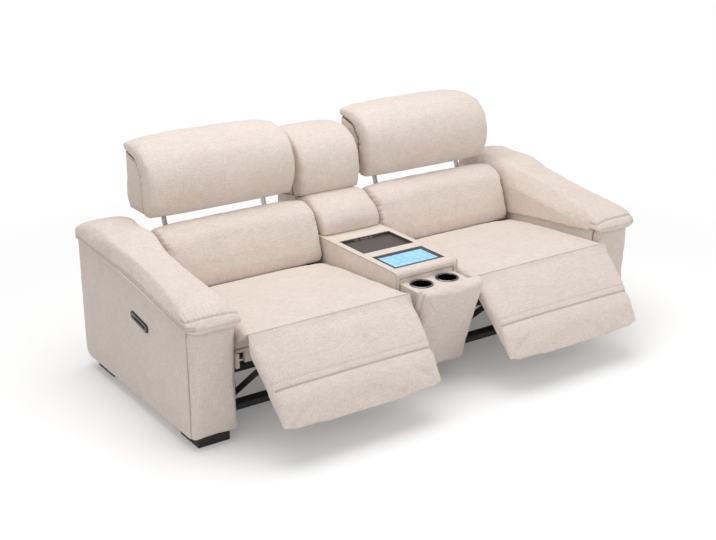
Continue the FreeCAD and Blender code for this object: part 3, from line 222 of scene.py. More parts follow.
def blend_colours(tree: Tree, factor: Value, first: Value, second: Value) -> Socket:
    """Mix two colours or colour sockets by a factor and return the mix.

    Args:
        tree: The material's node tree.
        factor: The share of the second colour.
        first: The first colour.
        second: The second colour.

    Returns:
        The mixed colour.
    """
    node = add_node(tree, "ShaderNodeMix", data_type="RGBA")
    for name, value in (("Factor", factor), ("A", first), ("B", second)):
        kind = "VALUE" if name == "Factor" else "RGBA"
        socket = [item for item in node.inputs if item.name == name and item.type == kind][0]
        if isinstance(value, bpy.types.NodeSocket):
            tree.links.new(value, socket)
        else:
            socket.default_value = value
    return [item for item in node.outputs if item.type == "RGBA"][0]


def bump(
    tree: Tree, height: Socket, distance: float, strength: float = 1.0, normal: Optional[Socket] = None
) -> Socket:
    """Add a bump of a real height in metres and return the normal.

    Args:
        tree: The material's node tree.
        height: The pattern that lifts the surface.
        distance: The bump's real height in metres.
        strength: How strongly it shows.
        normal: An earlier bump to build on.

    Returns:
        The normal.
    """
    inputs = {"Height": height, "Distance": distance, "Strength": strength}
    if normal is not None:
        inputs["Normal"] = normal
    return add_node(tree, "ShaderNodeBump", inputs).outputs["Normal"]


@dataclass(frozen=True)
class WovenChenille:
    """Upholstery cloth: soft woven chenille with slubs both ways, matt with a faint pile sheen."""

    name: str = "woven_chenille"
    light: str = "E8DBD2"
    dark: str = "D5C8BE"
    # Painted shade colour of the seam grooves, mixed in by the seam attribute
    seam_shade: str = "74685F"
    thread: float = 5 * MM  # real threads are about 2 mm, drawn coarser so that they show
    slub: float = 7.0
    fibre: float = 2.2 * MM

    def build(self) -> bpy.types.Material:
        """Make the material and return it.

        Returns:
            The finished material.
        """
        material, tree, place = start_material(self.name)
        # Threads run both ways on every face, so one stretched pattern runs along each axis
        threads = None
        for stretch in ((self.slub, 1, 1), (1, self.slub, 1), (1, 1, self.slub)):
            strand = noise(tree, place, self.thread, stretch, 1.0)
            threads = strand if threads is None else combine(tree, "ADD", threads, strand)
        weave = ramp(tree, threads, 1.15, 1.85)
        # Broad, faint patches come from pile that lies different ways
        patches = ramp(tree, noise(tree, place, 0.11, detail=3.0), 0.35, 0.65)
        tone = combine(
            tree, "ADD", combine(tree, "MULTIPLY", weave, 0.8), combine(tree, "MULTIPLY", patches, 0.2)
        )
        cloth = blend_colours(tree, tone, linear(self.dark), linear(self.light))
        # Painted shade: the seam lines darken where shade falls into their grooves and along the stitching
        seam = add_node(tree, "ShaderNodeAttribute", attribute_name="seam").outputs["Fac"]
        colour = blend_colours(tree, seam, cloth, linear(self.seam_shade))
        fibres = noise(tree, place, self.fibre, detail=2.0)
        normal = bump(tree, fibres, 0.5 * MM, 0.5, bump(tree, weave, 0.7 * MM, 0.6))
        end_material(
            tree,
            {
                "Base Color": colour,
                "Roughness": 0.92,
                "Specular IOR Level": 0.25,
                "Sheen Weight": 0.18,
                "Sheen Roughness": 0.5,
                "Normal": normal,
            },
        )
        return material


@dataclass(frozen=True)
class MouldedPlastic:
    """Moulded plastic with a fine spark-eroded grain, or a gloss face where the grain is slight."""

    name: str
    colour: str
    worn: str
    roughness: float
    grain: float = 1.2 * MM
    depth: float = 0.05 * MM

    def build(self) -> bpy.types.Material:
        """Make the material and return it.

        Returns:
            The finished material.
        """
        material, tree, place = start_material(self.name)
        grain = noise(tree, place, self.grain, detail=3.0)
        haze = noise(tree, place, 0.03, detail=4.0)
        colour = blend_colours(tree, ramp(tree, haze, 0.35, 0.75), linear(self.colour), linear(self.worn))
        gloss = ramp(tree, haze, 0.3, 0.7, self.roughness * 0.85, min(1.0, self.roughness * 1.2))
        end_material(
            tree, {"Base Color": colour, "Roughness": gloss, "Normal": bump(tree, grain, self.depth)}
        )
        return material


@dataclass(frozen=True)
class PowderCoat:
    """Black powder-coated steel: satin, with the slight orange peel of baked powder."""

    name: str = "powder_coated_steel"
    colour: str = "1C1D1F"
    dust: str = "3A3937"

    def build(self) -> bpy.types.Material:
        """Make the material and return it.

        Returns:
            The finished material.
        """
        material, tree, place = start_material(self.name)
        peel = noise(tree, place, 1.6 * MM, detail=1.0)
        dust = ramp(tree, noise(tree, place, 0.02, detail=5.0), 0.45, 0.8)
        colour = blend_colours(tree, dust, linear(self.colour), linear(self.dust))
        end_material(
            tree,
            {
                "Base Color": colour,
                "Roughness": ramp(tree, dust, 0, 1, 0.38, 0.6),
                "Normal": bump(tree, peel, 0.12 * MM),
            },
        )
        return material


@dataclass(frozen=True)
class BarMetal:
    """Bare metal: drawn steel with fine lines along its length, or a polished ring."""

    name: str
    colour: str
    roughness: float
    line: float = 0.6 * MM
    stretch: tuple[float, float, float] = (1.0, 1.0, 40.0)
    depth: float = 0.02 * MM

    def build(self) -> bpy.types.Material:
        """Make the material and return it.

        Returns:
            The finished material.
        """
        material, tree, place = start_material(self.name)
        lines = noise(tree, place, self.line, self.stretch, 3.0)
        smudge = noise(tree, place, 0.018, detail=3.0)
        rough = combine(tree, "MULTIPLY", ramp(tree, smudge, 0.3, 0.7, 0.8, 1.3), self.roughness)
        end_material(
            tree,
            {
                "Base Color": linear(self.colour),
                "Metallic": 1.0,
                "Roughness": rough,
                "Normal": bump(tree, lines, self.depth),
            },
        )
        return material


@dataclass(frozen=True)
class RibbedTray:
    """Moulded tray plastic, dark brownish grey, with shallow ribs across its floor and painted shade in the
    ribs' troughs.
    """

    name: str = "ribbed_tray_plastic"
    colour: str = "5D5652"
    dark: str = "4C4643"
    rib: float = 9 * MM

    def build(self) -> bpy.types.Material:
        """Make the material and return it.

        Returns:
            The finished material.
        """
        material, tree, place = start_material(self.name)
        split = add_node(tree, "ShaderNodeSeparateXYZ", {0: place})
        phase = combine(tree, "MULTIPLY", split.outputs["Y"], 2 * math.pi / self.rib)
        ribs = combine(tree, "SINE", phase, 0.0)
        grain = noise(tree, place, 1.5 * MM, detail=2.0)
        # Painted shade: the colour darkens in the ribs' troughs and lightens on their crests
        colour = blend_colours(tree, ramp(tree, ribs, -1, 1), linear(self.dark), linear(self.colour))
        normal = bump(tree, ribs, 0.25 * MM, 0.7, bump(tree, grain, 0.08 * MM))
        end_material(tree, {"Base Color": colour, "Roughness": 0.5, "Normal": normal})
        return material


@dataclass(frozen=True)
class LitPanel:
    """Backlit touch panel under clear plastic: pale cyan blue with plain, paler key fields."""

    name: str = "lit_touch_panel"
    colour: str = "93CDF0"
    mark: str = "B9E2F7"
    shade: str = "7FC0EA"
    pitch: float = 36 * MM
    glow: float = 0.24

    def build(self) -> bpy.types.Material:
        """Make the material and return it.

        Returns:
            The finished material.
        """
        material, tree, place = start_material(self.name)
        split = add_node(tree, "ShaderNodeSeparateXYZ", {0: place})
        keys = None
        for axis, shift in (("X", 0.0), ("Y", 0.009)):
            moved = combine(tree, "ADD", split.outputs[axis], shift)
            cell = combine(tree, "PINGPONG", moved, self.pitch / 2)
            side = ramp(tree, cell, 7.5 * MM, 8.5 * MM, 1.0, 0.0)
            keys = side if keys is None else combine(tree, "MULTIPLY", keys, side)
        base = blend_colours(
            tree, ramp(tree, noise(tree, place, 0.05), 0.3, 0.7), linear(self.shade), linear(self.colour)
        )
        colour = blend_colours(tree, combine(tree, "MULTIPLY", keys, 0.35), base, linear(self.mark))
        smear = noise(tree, place, 0.03, detail=4.0)
        end_material(
            tree,
            {
                "Base Color": colour,
                "Roughness": ramp(tree, smear, 0.35, 0.7, 0.12, 0.28),
                "Emission Color": colour,
                "Emission Strength": self.glow,
            },
        )
        return material


@dataclass(frozen=True)
class PineBoard:
    """Raw pine and plywood: pale, with long yellow-brown grain."""

    name: str = "raw_pine"
    light: str = "D9BE92"
    dark: str = "B58F5C"

    def build(self) -> bpy.types.Material:
        """Make the material and return it.

        Returns:
            The finished material.
        """
        material, tree, place = start_material(self.name)
        grain = noise(tree, place, 4 * MM, (1.0, 30.0, 6.0), 4.0)
        colour = blend_colours(tree, ramp(tree, grain, 0.3, 0.7), linear(self.dark), linear(self.light))
        end_material(tree, {"Base Color": colour, "Roughness": 0.75, "Normal": bump(tree, grain, 0.2 * MM)})
        return material


@dataclass(frozen=True)
class Finishes:
    """One material for each finish of the sofa."""

    cloth: bpy.types.Material
    foot: bpy.types.Material
    steel: bpy.types.Material
    bar: bpy.types.Material
    chrome: bpy.types.Material
    silver: bpy.types.Material
    tray: bpy.types.Material
    bezel: bpy.types.Material
    screen: bpy.types.Material
    cup: bpy.types.Material
    control: bpy.types.Material
    button: bpy.types.Material
    motor: bpy.types.Material
    timber: bpy.types.Material

    @classmethod
    def make(cls) -> "Finishes":
        """Build every material and return them together.

        Returns:
            All materials of the sofa.
        """
        return cls(
            # Woven chenille: the soft, matt, slightly slubbed beige of nearly the whole sofa
            cloth=WovenChenille().build(),
            # Moulded polypropylene blocks: black, satin, lightly scuffed
            foot=MouldedPlastic("moulded_polypropylene", "161413", "262220", 0.5).build(),
            # Powder-coated steel: black and satin, with faint patches of dust
            steel=PowderCoat().build(),
            # Drawn mild steel: flat grey with fine lines along the bar
            bar=BarMetal("drawn_steel", "A3A3A2", 0.34).build(),
            # Chrome-plated ABS: mirror bright with soft smudges
            chrome=BarMetal("black_chrome_plate", "8A8B8E", 0.16, stretch=(1.0, 1.0, 1.0)).build(),
            # Satin nickel: small bright fittings
            silver=BarMetal("satin_nickel", "CFCECB", 0.25, stretch=(20.0, 1.0, 1.0)).build(),
            # Moulded tray plastic: brownish grey and ribbed, with painted shade in the rib troughs, the
            # darkest flat area of the console
            tray=RibbedTray().build(),
            # Gloss ABS: deep black with a clean reflection
            bezel=MouldedPlastic("gloss_abs", "2B2A30", "34333A", 0.22, depth=0.01 * MM).build(),
            # Lit panel: the one bright, cool colour of the sofa
            screen=LitPanel().build(),
            # Gloss cup liners: black plastic, darkened to near black as painted shade deep in the wells
            cup=MouldedPlastic("moulded_cup_abs", "09090A", "131313", 0.28, depth=0.02 * MM).build(),
            # Gloss switch housing: a black bar inside its bright ring
            control=MouldedPlastic("gloss_switch_abs", "060607", "0C0C0E", 0.4, depth=0.01 * MM).build(),
            # Silicone keys: matt, a shade lighter than the housing
            button=MouldedPlastic("silicone_key", "17181B", "222327", 0.6).build(),
            # Glass-filled nylon: rough black of motor and power housings
            motor=MouldedPlastic("glass_filled_nylon", "1A1B1D", "2B2B2C", 0.6, depth=0.1 * MM).build(),
            # Raw pine: pale boards that only show from below
            timber=PineBoard().build(),
        )


def read_points(mesh: bpy.types.Mesh, what: str = "co") -> Points:
    """Read a mesh's vertex positions or normals.

    Args:
        mesh: The mesh.
        what: "co" for positions or "normal" for normals.

    Returns:
        An array with one row for each vertex.
    """
    numbers = np.zeros(len(mesh.vertices) * 3, np.float32)
    mesh.vertices.foreach_get(what, numbers)
    return numbers.reshape(-1, 3).astype(float)


def write_points(mesh: bpy.types.Mesh, points: Points) -> None:
    """Write a mesh's vertex positions."""
    mesh.vertices.foreach_set("co", points.astype(np.float32).ravel())
    mesh.update()


def baked(thing: bpy.types.Object) -> bpy.types.Mesh:
    """Return a new mesh with the object's modifiers applied."""
    depsgraph = bpy.context.evaluated_depsgraph_get()
    return bpy.data.meshes.new_from_object(thing.evaluated_get(depsgraph))


def show(name: str, mesh: bpy.types.Mesh, material: bpy.types.Material) -> bpy.types.Object:
    """Make a finished mesh an object of the scene, with one material.

    Args:
        name: The piece's name.
        mesh: Its mesh, in place.
        material: Its finish.

    Returns:
        The new object.
    """
    piece = bpy.data.objects.new(name, mesh)
    bpy.context.scene.collection.objects.link(piece)
    mesh.materials.clear()
    mesh.materials.append(material)
    return piece


def smooth_step(value: np.ndarray) -> np.ndarray:
    """Ease a value from 0 to 1, clamped."""
    clamped = np.clip(value, 0, 1)
    return clamped * clamped * (3 - 2 * clamped)


def to_section(points: Points, foot: Section, lean: float) -> tuple[np.ndarray, np.ndarray]:
    """Turn points into a leaning piece's own section coordinates.

    Args:
        points: Rows of X, Y and Z.
        foot: The Y and Z of the point that the section is measured from.
        lean: How far the section leans back, in radians.

    Returns:
        The distance back from the foot and the height above it.
    """
    back = points[:, 1] - foot[0]
    up = points[:, 2] - foot[1]
    cosine, sine = math.cos(lean), math.sin(lean)
    return back * cosine - up * sine, back * sine + up * cosine


def strip_limits(place: np.ndarray, value: np.ndarray, step: float) -> tuple[np.ndarray, np.ndarray]:
    """Find the lowest and highest value near each place, from strips of even width.

    Args:
        place: Each point's place, which sorts it into a strip.
        value: Each point's value.
        step: The strips' width.

    Returns:
        The lowest and the highest value near each point.
    """
    strip = np.floor(place / step).astype(int)
    places, lows, highs = [], [], []
    for number in np.unique(strip):
        inside = value[strip == number]
        places.append((number + 0.5) * step)
        lows.append(inside.min())
        highs.append(inside.max())
    return np.interp(place, places, lows), np.interp(place, places, highs)


def line_distance(
    across: np.ndarray, up: np.ndarray, line: Sequence[Section]
) -> tuple[np.ndarray, np.ndarray]:
    """Measure points of a section against a polyline.

    Args:
        across: The points' first coordinates.
        up: The points' second coordinates.
        line: The polyline's corners.

    Returns:
        Each point's distance from the line, and how far along the line its nearest point is.
    """
    best = np.full(len(across), 1e9)
    along = np.zeros(len(across))
    travelled = 0.0
    for start, end in zip(line, line[1:]):
        step = np.subtract(end, start)
        length = float(np.hypot(*step))
        share = ((across - start[0]) * step[0] + (up - start[1]) * step[1]) / length**2
        share = np.clip(share, 0, 1)
        distance = np.hypot(across - start[0] - share * step[0], up - start[1] - share * step[1])
        closer = distance < best
        best = np.where(closer, distance, best)
        along = np.where(closer, travelled + share * length, along)
        travelled += length
    return best, along


@dataclass
class Groove:
    """A sewn line: the cover dips along it, and painted shade darkens the line.

    reach gives each vertex's distance from the line, in metres, and a large number off the line. A
    negative depth makes a broad crown instead of a dip.
    """

    reach: Measure
    depth: float = 2.5 * MM
    width: float = 5 * MM
    dark: float = 0.55
    mark: float = 3.2 * MM

    def shape(self, points: Points) -> tuple[np.ndarray, np.ndarray]:
        """Return how far each vertex moves outwards, and how much painted seam shade it gets.

        Args:
            points: Rows of X, Y and Z.

        Returns:
            The outward moves, and the painted seam shade.
        """
        distance = self.reach(points)
        dip = -self.depth * np.exp(-((distance / self.width) ** 2))
        return dip, self.dark * np.exp(-((distance / self.mark) ** 2))


@dataclass
class Gather:
    """Small folds that run away from a sewn edge and fade out.

    measure gives each vertex's place along the edge and its distance from it, in metres.
    """

    measure: Spread
    pitch: float = 18 * MM
    height: float = 2.2 * MM
    length: float = 42 * MM

    def shape(self, points: Points) -> np.ndarray:
        """Return how far each vertex moves outwards.

        Args:
            points: Rows of X, Y and Z.

        Returns:
            The outward moves.
        """
        along, away = self.measure(points)
        turn = 2 * math.pi * along / self.pitch
        uneven = turn + 0.9 * np.sin(turn * 0.37 + 1.0) + 0.5 * np.sin(turn * 0.83 + 2.0)
        lengths = self.length * (0.8 + 0.35 * np.sin(turn * 0.5 + 0.6))
        fade = np.exp(-((away / lengths) ** 2))
        return self.height * (np.cos(uneven) - 0.25) * fade


def unevenness(points: Points, height: float) -> np.ndarray:
    """Return slow swells of a stuffed surface, so that no face is perfectly even.

    Args:
        points: Rows of X, Y and Z.
        height: The swells' greatest height in metres.

    Returns:
        One height for each point.
    """
    x, y, z = points[:, 0], points[:, 1], points[:, 2]
    waves = np.sin(21 * x + 13 * y + 5 * z + 0.7) + np.sin(-17 * x + 29 * y - 11 * z + 2.1)
    waves = waves + np.sin(37 * x - 19 * y + 23 * z + 4.0) * 0.6 + np.sin(9 * x + 41 * y + 31 * z) * 0.5
    return height * waves / 3.1


@dataclass
class PaddedCover:
    """A stuffed piece that stands for one solid.

    held says which vertices the frame, the neighbour or a seam keeps in place while the rest swells.
    """

    node: str
    body: str
    fill: float
    held: Mask
    slot: str = "cover_fabric"
    voxel: float = 9 * MM
    rounding: int = 6
    slack: float = 1 * MM
    travel: float = 24 * MM
    swell: float = 4 * MM
    pressure: float = 4.0
    swells: float = 0.8 * MM
    calm: int = 4
    foot: Section = (0.0, 0.0)
    lean: float = 0.0
    grow: tuple[float, float, float, float, float, float] = (0.0, 0.0, 0.0, 0.0, 0.0, 0.0)
    pinch: Optional[Section] = None
    pinch_reach: float = 22 * MM
    pinch_span: Section = (-0.919, -0.169)
    pinch_fade: float = 0.09
    addition: Optional[Callable[[bmesh.types.BMesh], None]] = None
    grooves: list[Groove] = field(default_factory=list)
    gathers: list[Gather] = field(default_factory=list)
    only_left: bool = False

    def start(self) -> None:
        """Copy the solid, remesh it evenly and set up its cloth."""
        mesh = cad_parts[self.node].data.copy()
        work = bmesh.new()
        work.from_mesh(mesh)
        bmesh.ops.remove_doubles(work, verts=work.verts, dist=WELD)
        if self.only_left:
            right = [vertex for vertex in work.verts if vertex.co.x > 0]
            bmesh.ops.delete(work, geom=right, context="VERTS")
        if self.addition:
            self.addition(work)
        work.to_mesh(mesh)
        work.free()
        self.box = self.section_box(read_points(mesh))
        self.cushion = show(f"{self.node}_start", mesh, None)
        remesh = self.cushion.modifiers.new("even_mesh", "REMESH")
        remesh.mode = "VOXEL"
        remesh.voxel_size = self.voxel * 1
        even = baked(self.cushion)
        self.cushion.modifiers.clear()
        self.cushion.data = even
        self.solid = read_points(even)
        self.outwards = read_points(even, "normal")
        self.keeps = self.held(self.solid, self.outwards)
        self.smooth(even, np.ones(len(self.solid), bool), 2)
        self.smooth(even, ~self.keeps, self.rounding)
        rounded = read_points(even)
        free = (~self.keeps)[:, None]
        write_points(even, rounded - self.outwards * self.slack * free)
        self.begin = read_points(even)
        self.add_cloth()

    def section_box(self, points: Points) -> np.ndarray:
        """Return the lowest and highest X, distance back and height of points, in the piece's own section.

        Args:
            points: Rows of X, Y and Z.

        Returns:
            The low corner and the high corner.
        """
        across, up = to_section(points, self.foot, self.lean)
        own = np.stack([points[:, 0], across, up])
        return np.stack([own.min(axis=1), own.max(axis=1)])

    def fit(self, points: Points) -> Points:
        """Stretch points so that their box is the solid's, plus what the padding grows.

        Args:
            points: Rows of X, Y and Z.

        Returns:
            The stretched points.
        """
        across, up = to_section(points, self.foot, self.lean)
        own = np.stack([points[:, 0], across, up], axis=1)
        low, high = own.min(axis=0), own.max(axis=0)
        grow = np.array(self.grow).reshape(3, 2)
        new_low, new_high = self.box[0] - grow[:, 0], self.box[1] + grow[:, 1]
        own = new_low + (own - low) * (new_high - new_low) / (high - low)
        cosine, sine = math.cos(self.lean), math.sin(self.lean)
        back = own[:, 1] * cosine + own[:, 2] * sine + self.foot[0]
        height = own[:, 2] * cosine - own[:, 1] * sine + self.foot[1]
        return np.stack([own[:, 0], back, height], axis=1)

    def draw_to_seam(self, points: Points) -> Points:
        """Draw the points near the shared seam to its line, so that both covers meet there.

        Args:
            points: Rows of X, Y and Z.

        Returns:
            The drawn points.
        """
        if self.pinch is None:
            return points
        line = np.array(self.pinch)
        step = self.voxel * 2
        distance = np.hypot(points[:, 1] - line[0], points[:, 2] - line[1])
        distance = distance - strip_limits(points[:, 0], distance, step)[0]
        share = smooth_step((self.pinch_reach - distance) / (self.pinch_reach * 0.75))
        moved = points.copy()
        moved[:, 1:] = points[:, 1:] * (1 - share)[:, None] + line * share[:, None]
        low, high = strip_limits(distance, points[:, 0], step)
        place = np.clip((points[:, 0] - low) / (high - low), 0.0, 1.0)
        full = self.pinch_span[0] + place * (self.pinch_span[1] - self.pinch_span[0])
        near = smooth_step((self.pinch_fade - distance) / self.pinch_fade)
        moved[:, 0] = points[:, 0] * (1 - near) + full * near
        return moved

    def smooth(self, mesh: bpy.types.Mesh, chosen: np.ndarray, rounds: int) -> None:
        """Even out some of a mesh's vertices, which also rounds the rims among them.

        Args:
            mesh: The mesh.
            chosen: Which vertices to even out.
            rounds: How often.
        """
        work = bmesh.new()
        work.from_mesh(mesh)
        work.verts.ensure_lookup_table()
        loose = [work.verts[index] for index in np.flatnonzero(chosen)]
        for _ in range(rounds):
            bmesh.ops.smooth_vert(
                work, verts=loose, factor=0.5, use_axis_x=True, use_axis_y=True, use_axis_z=True
            )
        work.to_mesh(mesh)
        work.free()

    def add_cloth(self) -> None:
        """Give the start shape a cloth simulation with air pressure and no gravity."""
        group = self.cushion.vertex_groups.new(name="held")
        group.add([int(index) for index in np.flatnonzero(self.keeps)], 1.0, "REPLACE")
        cloth = self.cushion.modifiers.new("cloth", "CLOTH")
        settings = cloth.settings
        settings.quality = 5
        settings.mass = 0.4
        settings.tension_stiffness = 22
        settings.compression_stiffness = 22
        settings.shear_stiffness = 8
        settings.bending_stiffness = 1.5
        settings.use_pressure = True
        settings.uniform_pressure_force = self.pressure
        settings.shrink_min = -0.01
        settings.vertex_group_mass = group.name
        settings.effector_weights.gravity = 0
        cloth.collision_settings.use_collision = False
        cloth.point_cache.frame_start = 1
        cloth.point_cache.frame_end = LAST_FRAME

    def settle(self, material: bpy.types.Material) -> bpy.types.Mesh:
        """Take the simulated shape, cap its travel, and sew in seams and gathers.

        Args:
            material: The cloth.

        Returns:
            The finished mesh.
        """
        mesh = baked(self.cushion)
        moved = read_points(mesh) - self.begin
        distance = np.linalg.norm(moved, axis=1)
        share = np.minimum(1, self.travel / np.maximum(distance, 1e-9))
        points = self.begin + moved * share[:, None]
        proud = ((points - self.solid) * self.outwards).sum(axis=1)
        points = points - self.outwards * np.maximum(0, proud - self.swell)[:, None]
        write_points(mesh, points)
        self.smooth(mesh, ~self.keeps, self.calm)
        write_points(mesh, self.draw_to_seam(self.fit(read_points(mesh))))
        bpy.data.objects.remove(self.cushion)
        rough = show(f"{self.node}_rough", mesh, material)
        finer = rough.modifiers.new("finer", "SUBSURF")
        finer.levels = finer.render_levels = 1
        mesh = baked(rough)
        bpy.data.objects.remove(rough)
        self.sew(mesh)
        for polygon in mesh.polygons:
            polygon.use_smooth = True
        return mesh

    def sew(self, mesh: bpy.types.Mesh) -> None:
        """Press the seams and gathers into a mesh and paint the shade of the seam lines.

        Args:
            mesh: The mesh.
        """
        points = read_points(mesh)
        normals = read_points(mesh, "normal")
        keeps = self.held(points, normals)
        lift = unevenness(points, self.swells) * ~keeps
        seam_shading = np.zeros(len(points))
        for gather in self.gathers:
            lift = lift + gather.shape(points) * ~keeps
        for groove in self.grooves:
            dip, mark = groove.shape(points)
            lift = lift + dip
            seam_shading = np.maximum(seam_shading, mark)
        write_points(mesh, points + normals * lift[:, None])
        # The seam attribute holds the painted shade along the seam lines
        attribute = mesh.attributes.new("seam", "FLOAT", "POINT")
        attribute.data.foreach_set("value", seam_shading.astype(np.float32))

    def finish(
        self, mesh: bpy.types.Mesh, name: str, node: str, body: str, material: bpy.types.Material
    ) -> None:
        """Show the cover, let it ride on its body and stand for its solid.

        Args:
            mesh: The mesh.
            name: The piece's name.
            node: The solid that it stands for.
            body: The body that it rides on.
            material: The cloth.
        """
        piece = show(name, mesh, material)
        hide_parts(node)
        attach(piece, body)
        LOG.info("%s: %d faces on %s", name, len(mesh.polygons), body)


def mirrored_mesh(mesh: bpy.types.Mesh) -> bpy.types.Mesh:
    """Return a mirror image of a mesh across the sofa's middle, with its faces outwards.

    Args:
        mesh: The left side's mesh.

    Returns:
        The right side's mesh.
    """
    other = mesh.copy()
    other.transform(Matrix.Scale(-1, 4, (1, 0, 0)))
    other.flip_normals()
    return other


def joined_mesh(first: bpy.types.Mesh, second: bpy.types.Mesh) -> bpy.types.Mesh:
    """Return one mesh that holds both.

    Args:
        first: The first mesh.
        second: The second mesh.

    Returns:
        The joined mesh.
    """
    work = bmesh.new()
    work.from_mesh(first)
    work.from_mesh(second)
    both = first.copy()
    work.to_mesh(both)
    work.free()
    return both


def facing(direction: Sequence[float], share: float) -> Mask:
    """Return a mask of the vertices whose normals point mostly one way.

    Args:
        direction: The way to face.
        share: The least cosine to that way.

    Returns:
        The mask.
    """
    way = Vector(direction).normalized()

    def mask(points: Points, normals: Points) -> np.ndarray:
        """Pick the vertices that face the direction."""
        return normals @ np.array(way) > share

    return mask


def near_line(y: float, z: float, radius: float) -> Mask:
    """Return a mask of the vertices near a line along X.

    Args:
        y: The line's Y.
        z: The line's height.
        radius: The greatest distance.

    Returns:
        The mask.
    """

    def mask(points: Points, normals: Points) -> np.ndarray:
        """Pick the vertices within the radius."""
        return np.hypot(points[:, 1] - y, points[:, 2] - z) < radius

    return mask


def any_of(*masks: Mask) -> Mask:
    """Return a mask of the vertices that at least one mask picks.

    Args:
        masks: The masks to join.

    Returns:
        The joined mask.
    """

    def mask(points: Points, normals: Points) -> np.ndarray:
        """Pick what any mask picks.

        Args:
            points: Rows of X, Y and Z.
            normals: Rows of the vertices' normals.

        Returns:
            Which vertices are picked.
        """
        picked = np.zeros(len(points), bool)
        for part in masks:
            picked |= part(points, normals)
        return picked

    return mask


@dataclass
class HeadCushion:
    """A head cushion in two parts: a front pad that rolls over a back shell, with gathers at the roll."""

    pad_node: str
    shell_node: str
    body: str
    foot: Section
    lean: float
    seam_shares: tuple[Section, ...] = ((-0.1, 0.0), (-0.086, 0.507), (0.079, 0.735), (0.493, 0.843))
    welt: float = 9 * MM
    joint_reach: float = 7 * MM
    end_width: float = 14 * MM
    gather_width: float = 18 * MM
    gather_span: Section = (0.1, 0.27)
    gather_fade: float = 0.05

    def seam_line(self) -> list[Section]:
        """Return the seam between pad and shell in the section's coordinates, in metres."""
        return [(across * HEAD_DEPTH, up * HEAD_HEIGHT) for across, up in self.seam_shares]

    def seam_reach(self, points: Points) -> tuple[np.ndarray, np.ndarray]:
        """Return each vertex's distance from the seam line and its place along it."""
        across, up = to_section(points, self.foot, self.lean)
        return line_distance(across, up, self.seam_line())

    def end_reach(self, points: Points) -> np.ndarray:
        """Return each vertex's distance from the nearer end of the pad."""
        low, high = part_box(self.pad_node)
        return np.minimum(points[:, 0] - low.x, high.x - points[:, 0])

    def covers(self) -> list[PaddedCover]:
        """Return the pad's and the shell's covers.

        Returns:
            The covers, ready to be simulated.
        """
        under = facing((0, -math.sin(self.lean), -math.cos(self.lean)), 0.75)

        def joint(points: Points, normals: Points) -> np.ndarray:
            """Pick the faces where pad and shell touch."""
            distance, _ = self.seam_reach(points)
            return (distance < self.joint_reach) & (np.abs(normals[:, 0]) < 0.8)

        def gathers(points: Points) -> tuple[np.ndarray, np.ndarray]:
            """Measure the roll's gathers from the seam's bend, on the end faces and round onto the front.

            Args:
                points: Rows of X, Y and Z.

            Returns:
                The place along the seam and the distance from it.
            """
            distance, along = self.seam_reach(points)
            end = np.maximum(self.end_reach(points) - self.gather_width, 0)
            start, stop = self.gather_span
            bend = smooth_step((along - start) / self.gather_fade)
            bend = bend * smooth_step((stop - along) / self.gather_fade)
            away = np.hypot(distance, end) + (1 - bend) * OUT_OF_REACH
            return along, away

        def welt(points: Points) -> np.ndarray:
            """Measure the welt line that runs beside the seam on the pad's ends.

            Args:
                points: Rows of X, Y and Z.

            Returns:
                The distance in metres.
            """
            distance, _ = self.seam_reach(points)
            off_end = np.maximum(self.end_reach(points) - self.end_width, 0)
            return np.hypot(distance - self.welt, off_end * 2)

        def seam(points: Points) -> np.ndarray:
            """Measure the seam where pad and shell meet, as it shows on the ends and behind the roll."""
            distance, _ = self.seam_reach(points)
            return distance

        return [
            PaddedCover(
                self.pad_node,
                self.body,
                fill=0.75,
                held=any_of(joint, under),
                rounding=7,
                swell=5 * MM,
                foot=self.foot,
                lean=self.lean,
                grow=(1 * MM, 1 * MM, 2 * MM, 2 * MM, 0.0, 2 * MM),
                grooves=[
                    Groove(seam, depth=6 * MM, width=8 * MM, dark=1.0, mark=5 * MM),
                    Groove(welt, depth=1.2 * MM, width=3.5 * MM, dark=0.25),
                ],
                gathers=[Gather(gathers, pitch=17 * MM, height=2.8 * MM, length=56 * MM)],
            ),
            PaddedCover(
                self.shell_node,
                self.body,
                fill=0.8,
                held=any_of(joint, under),
                swell=3 * MM,
                foot=self.foot,
                lean=self.lean,
                grow=(-4 * MM, -4 * MM, 0.0, 1 * MM, 0.0, 0.0),
                grooves=[Groove(seam, depth=5 * MM, width=8 * MM, dark=1.0, mark=5 * MM)],
            ),
        ]


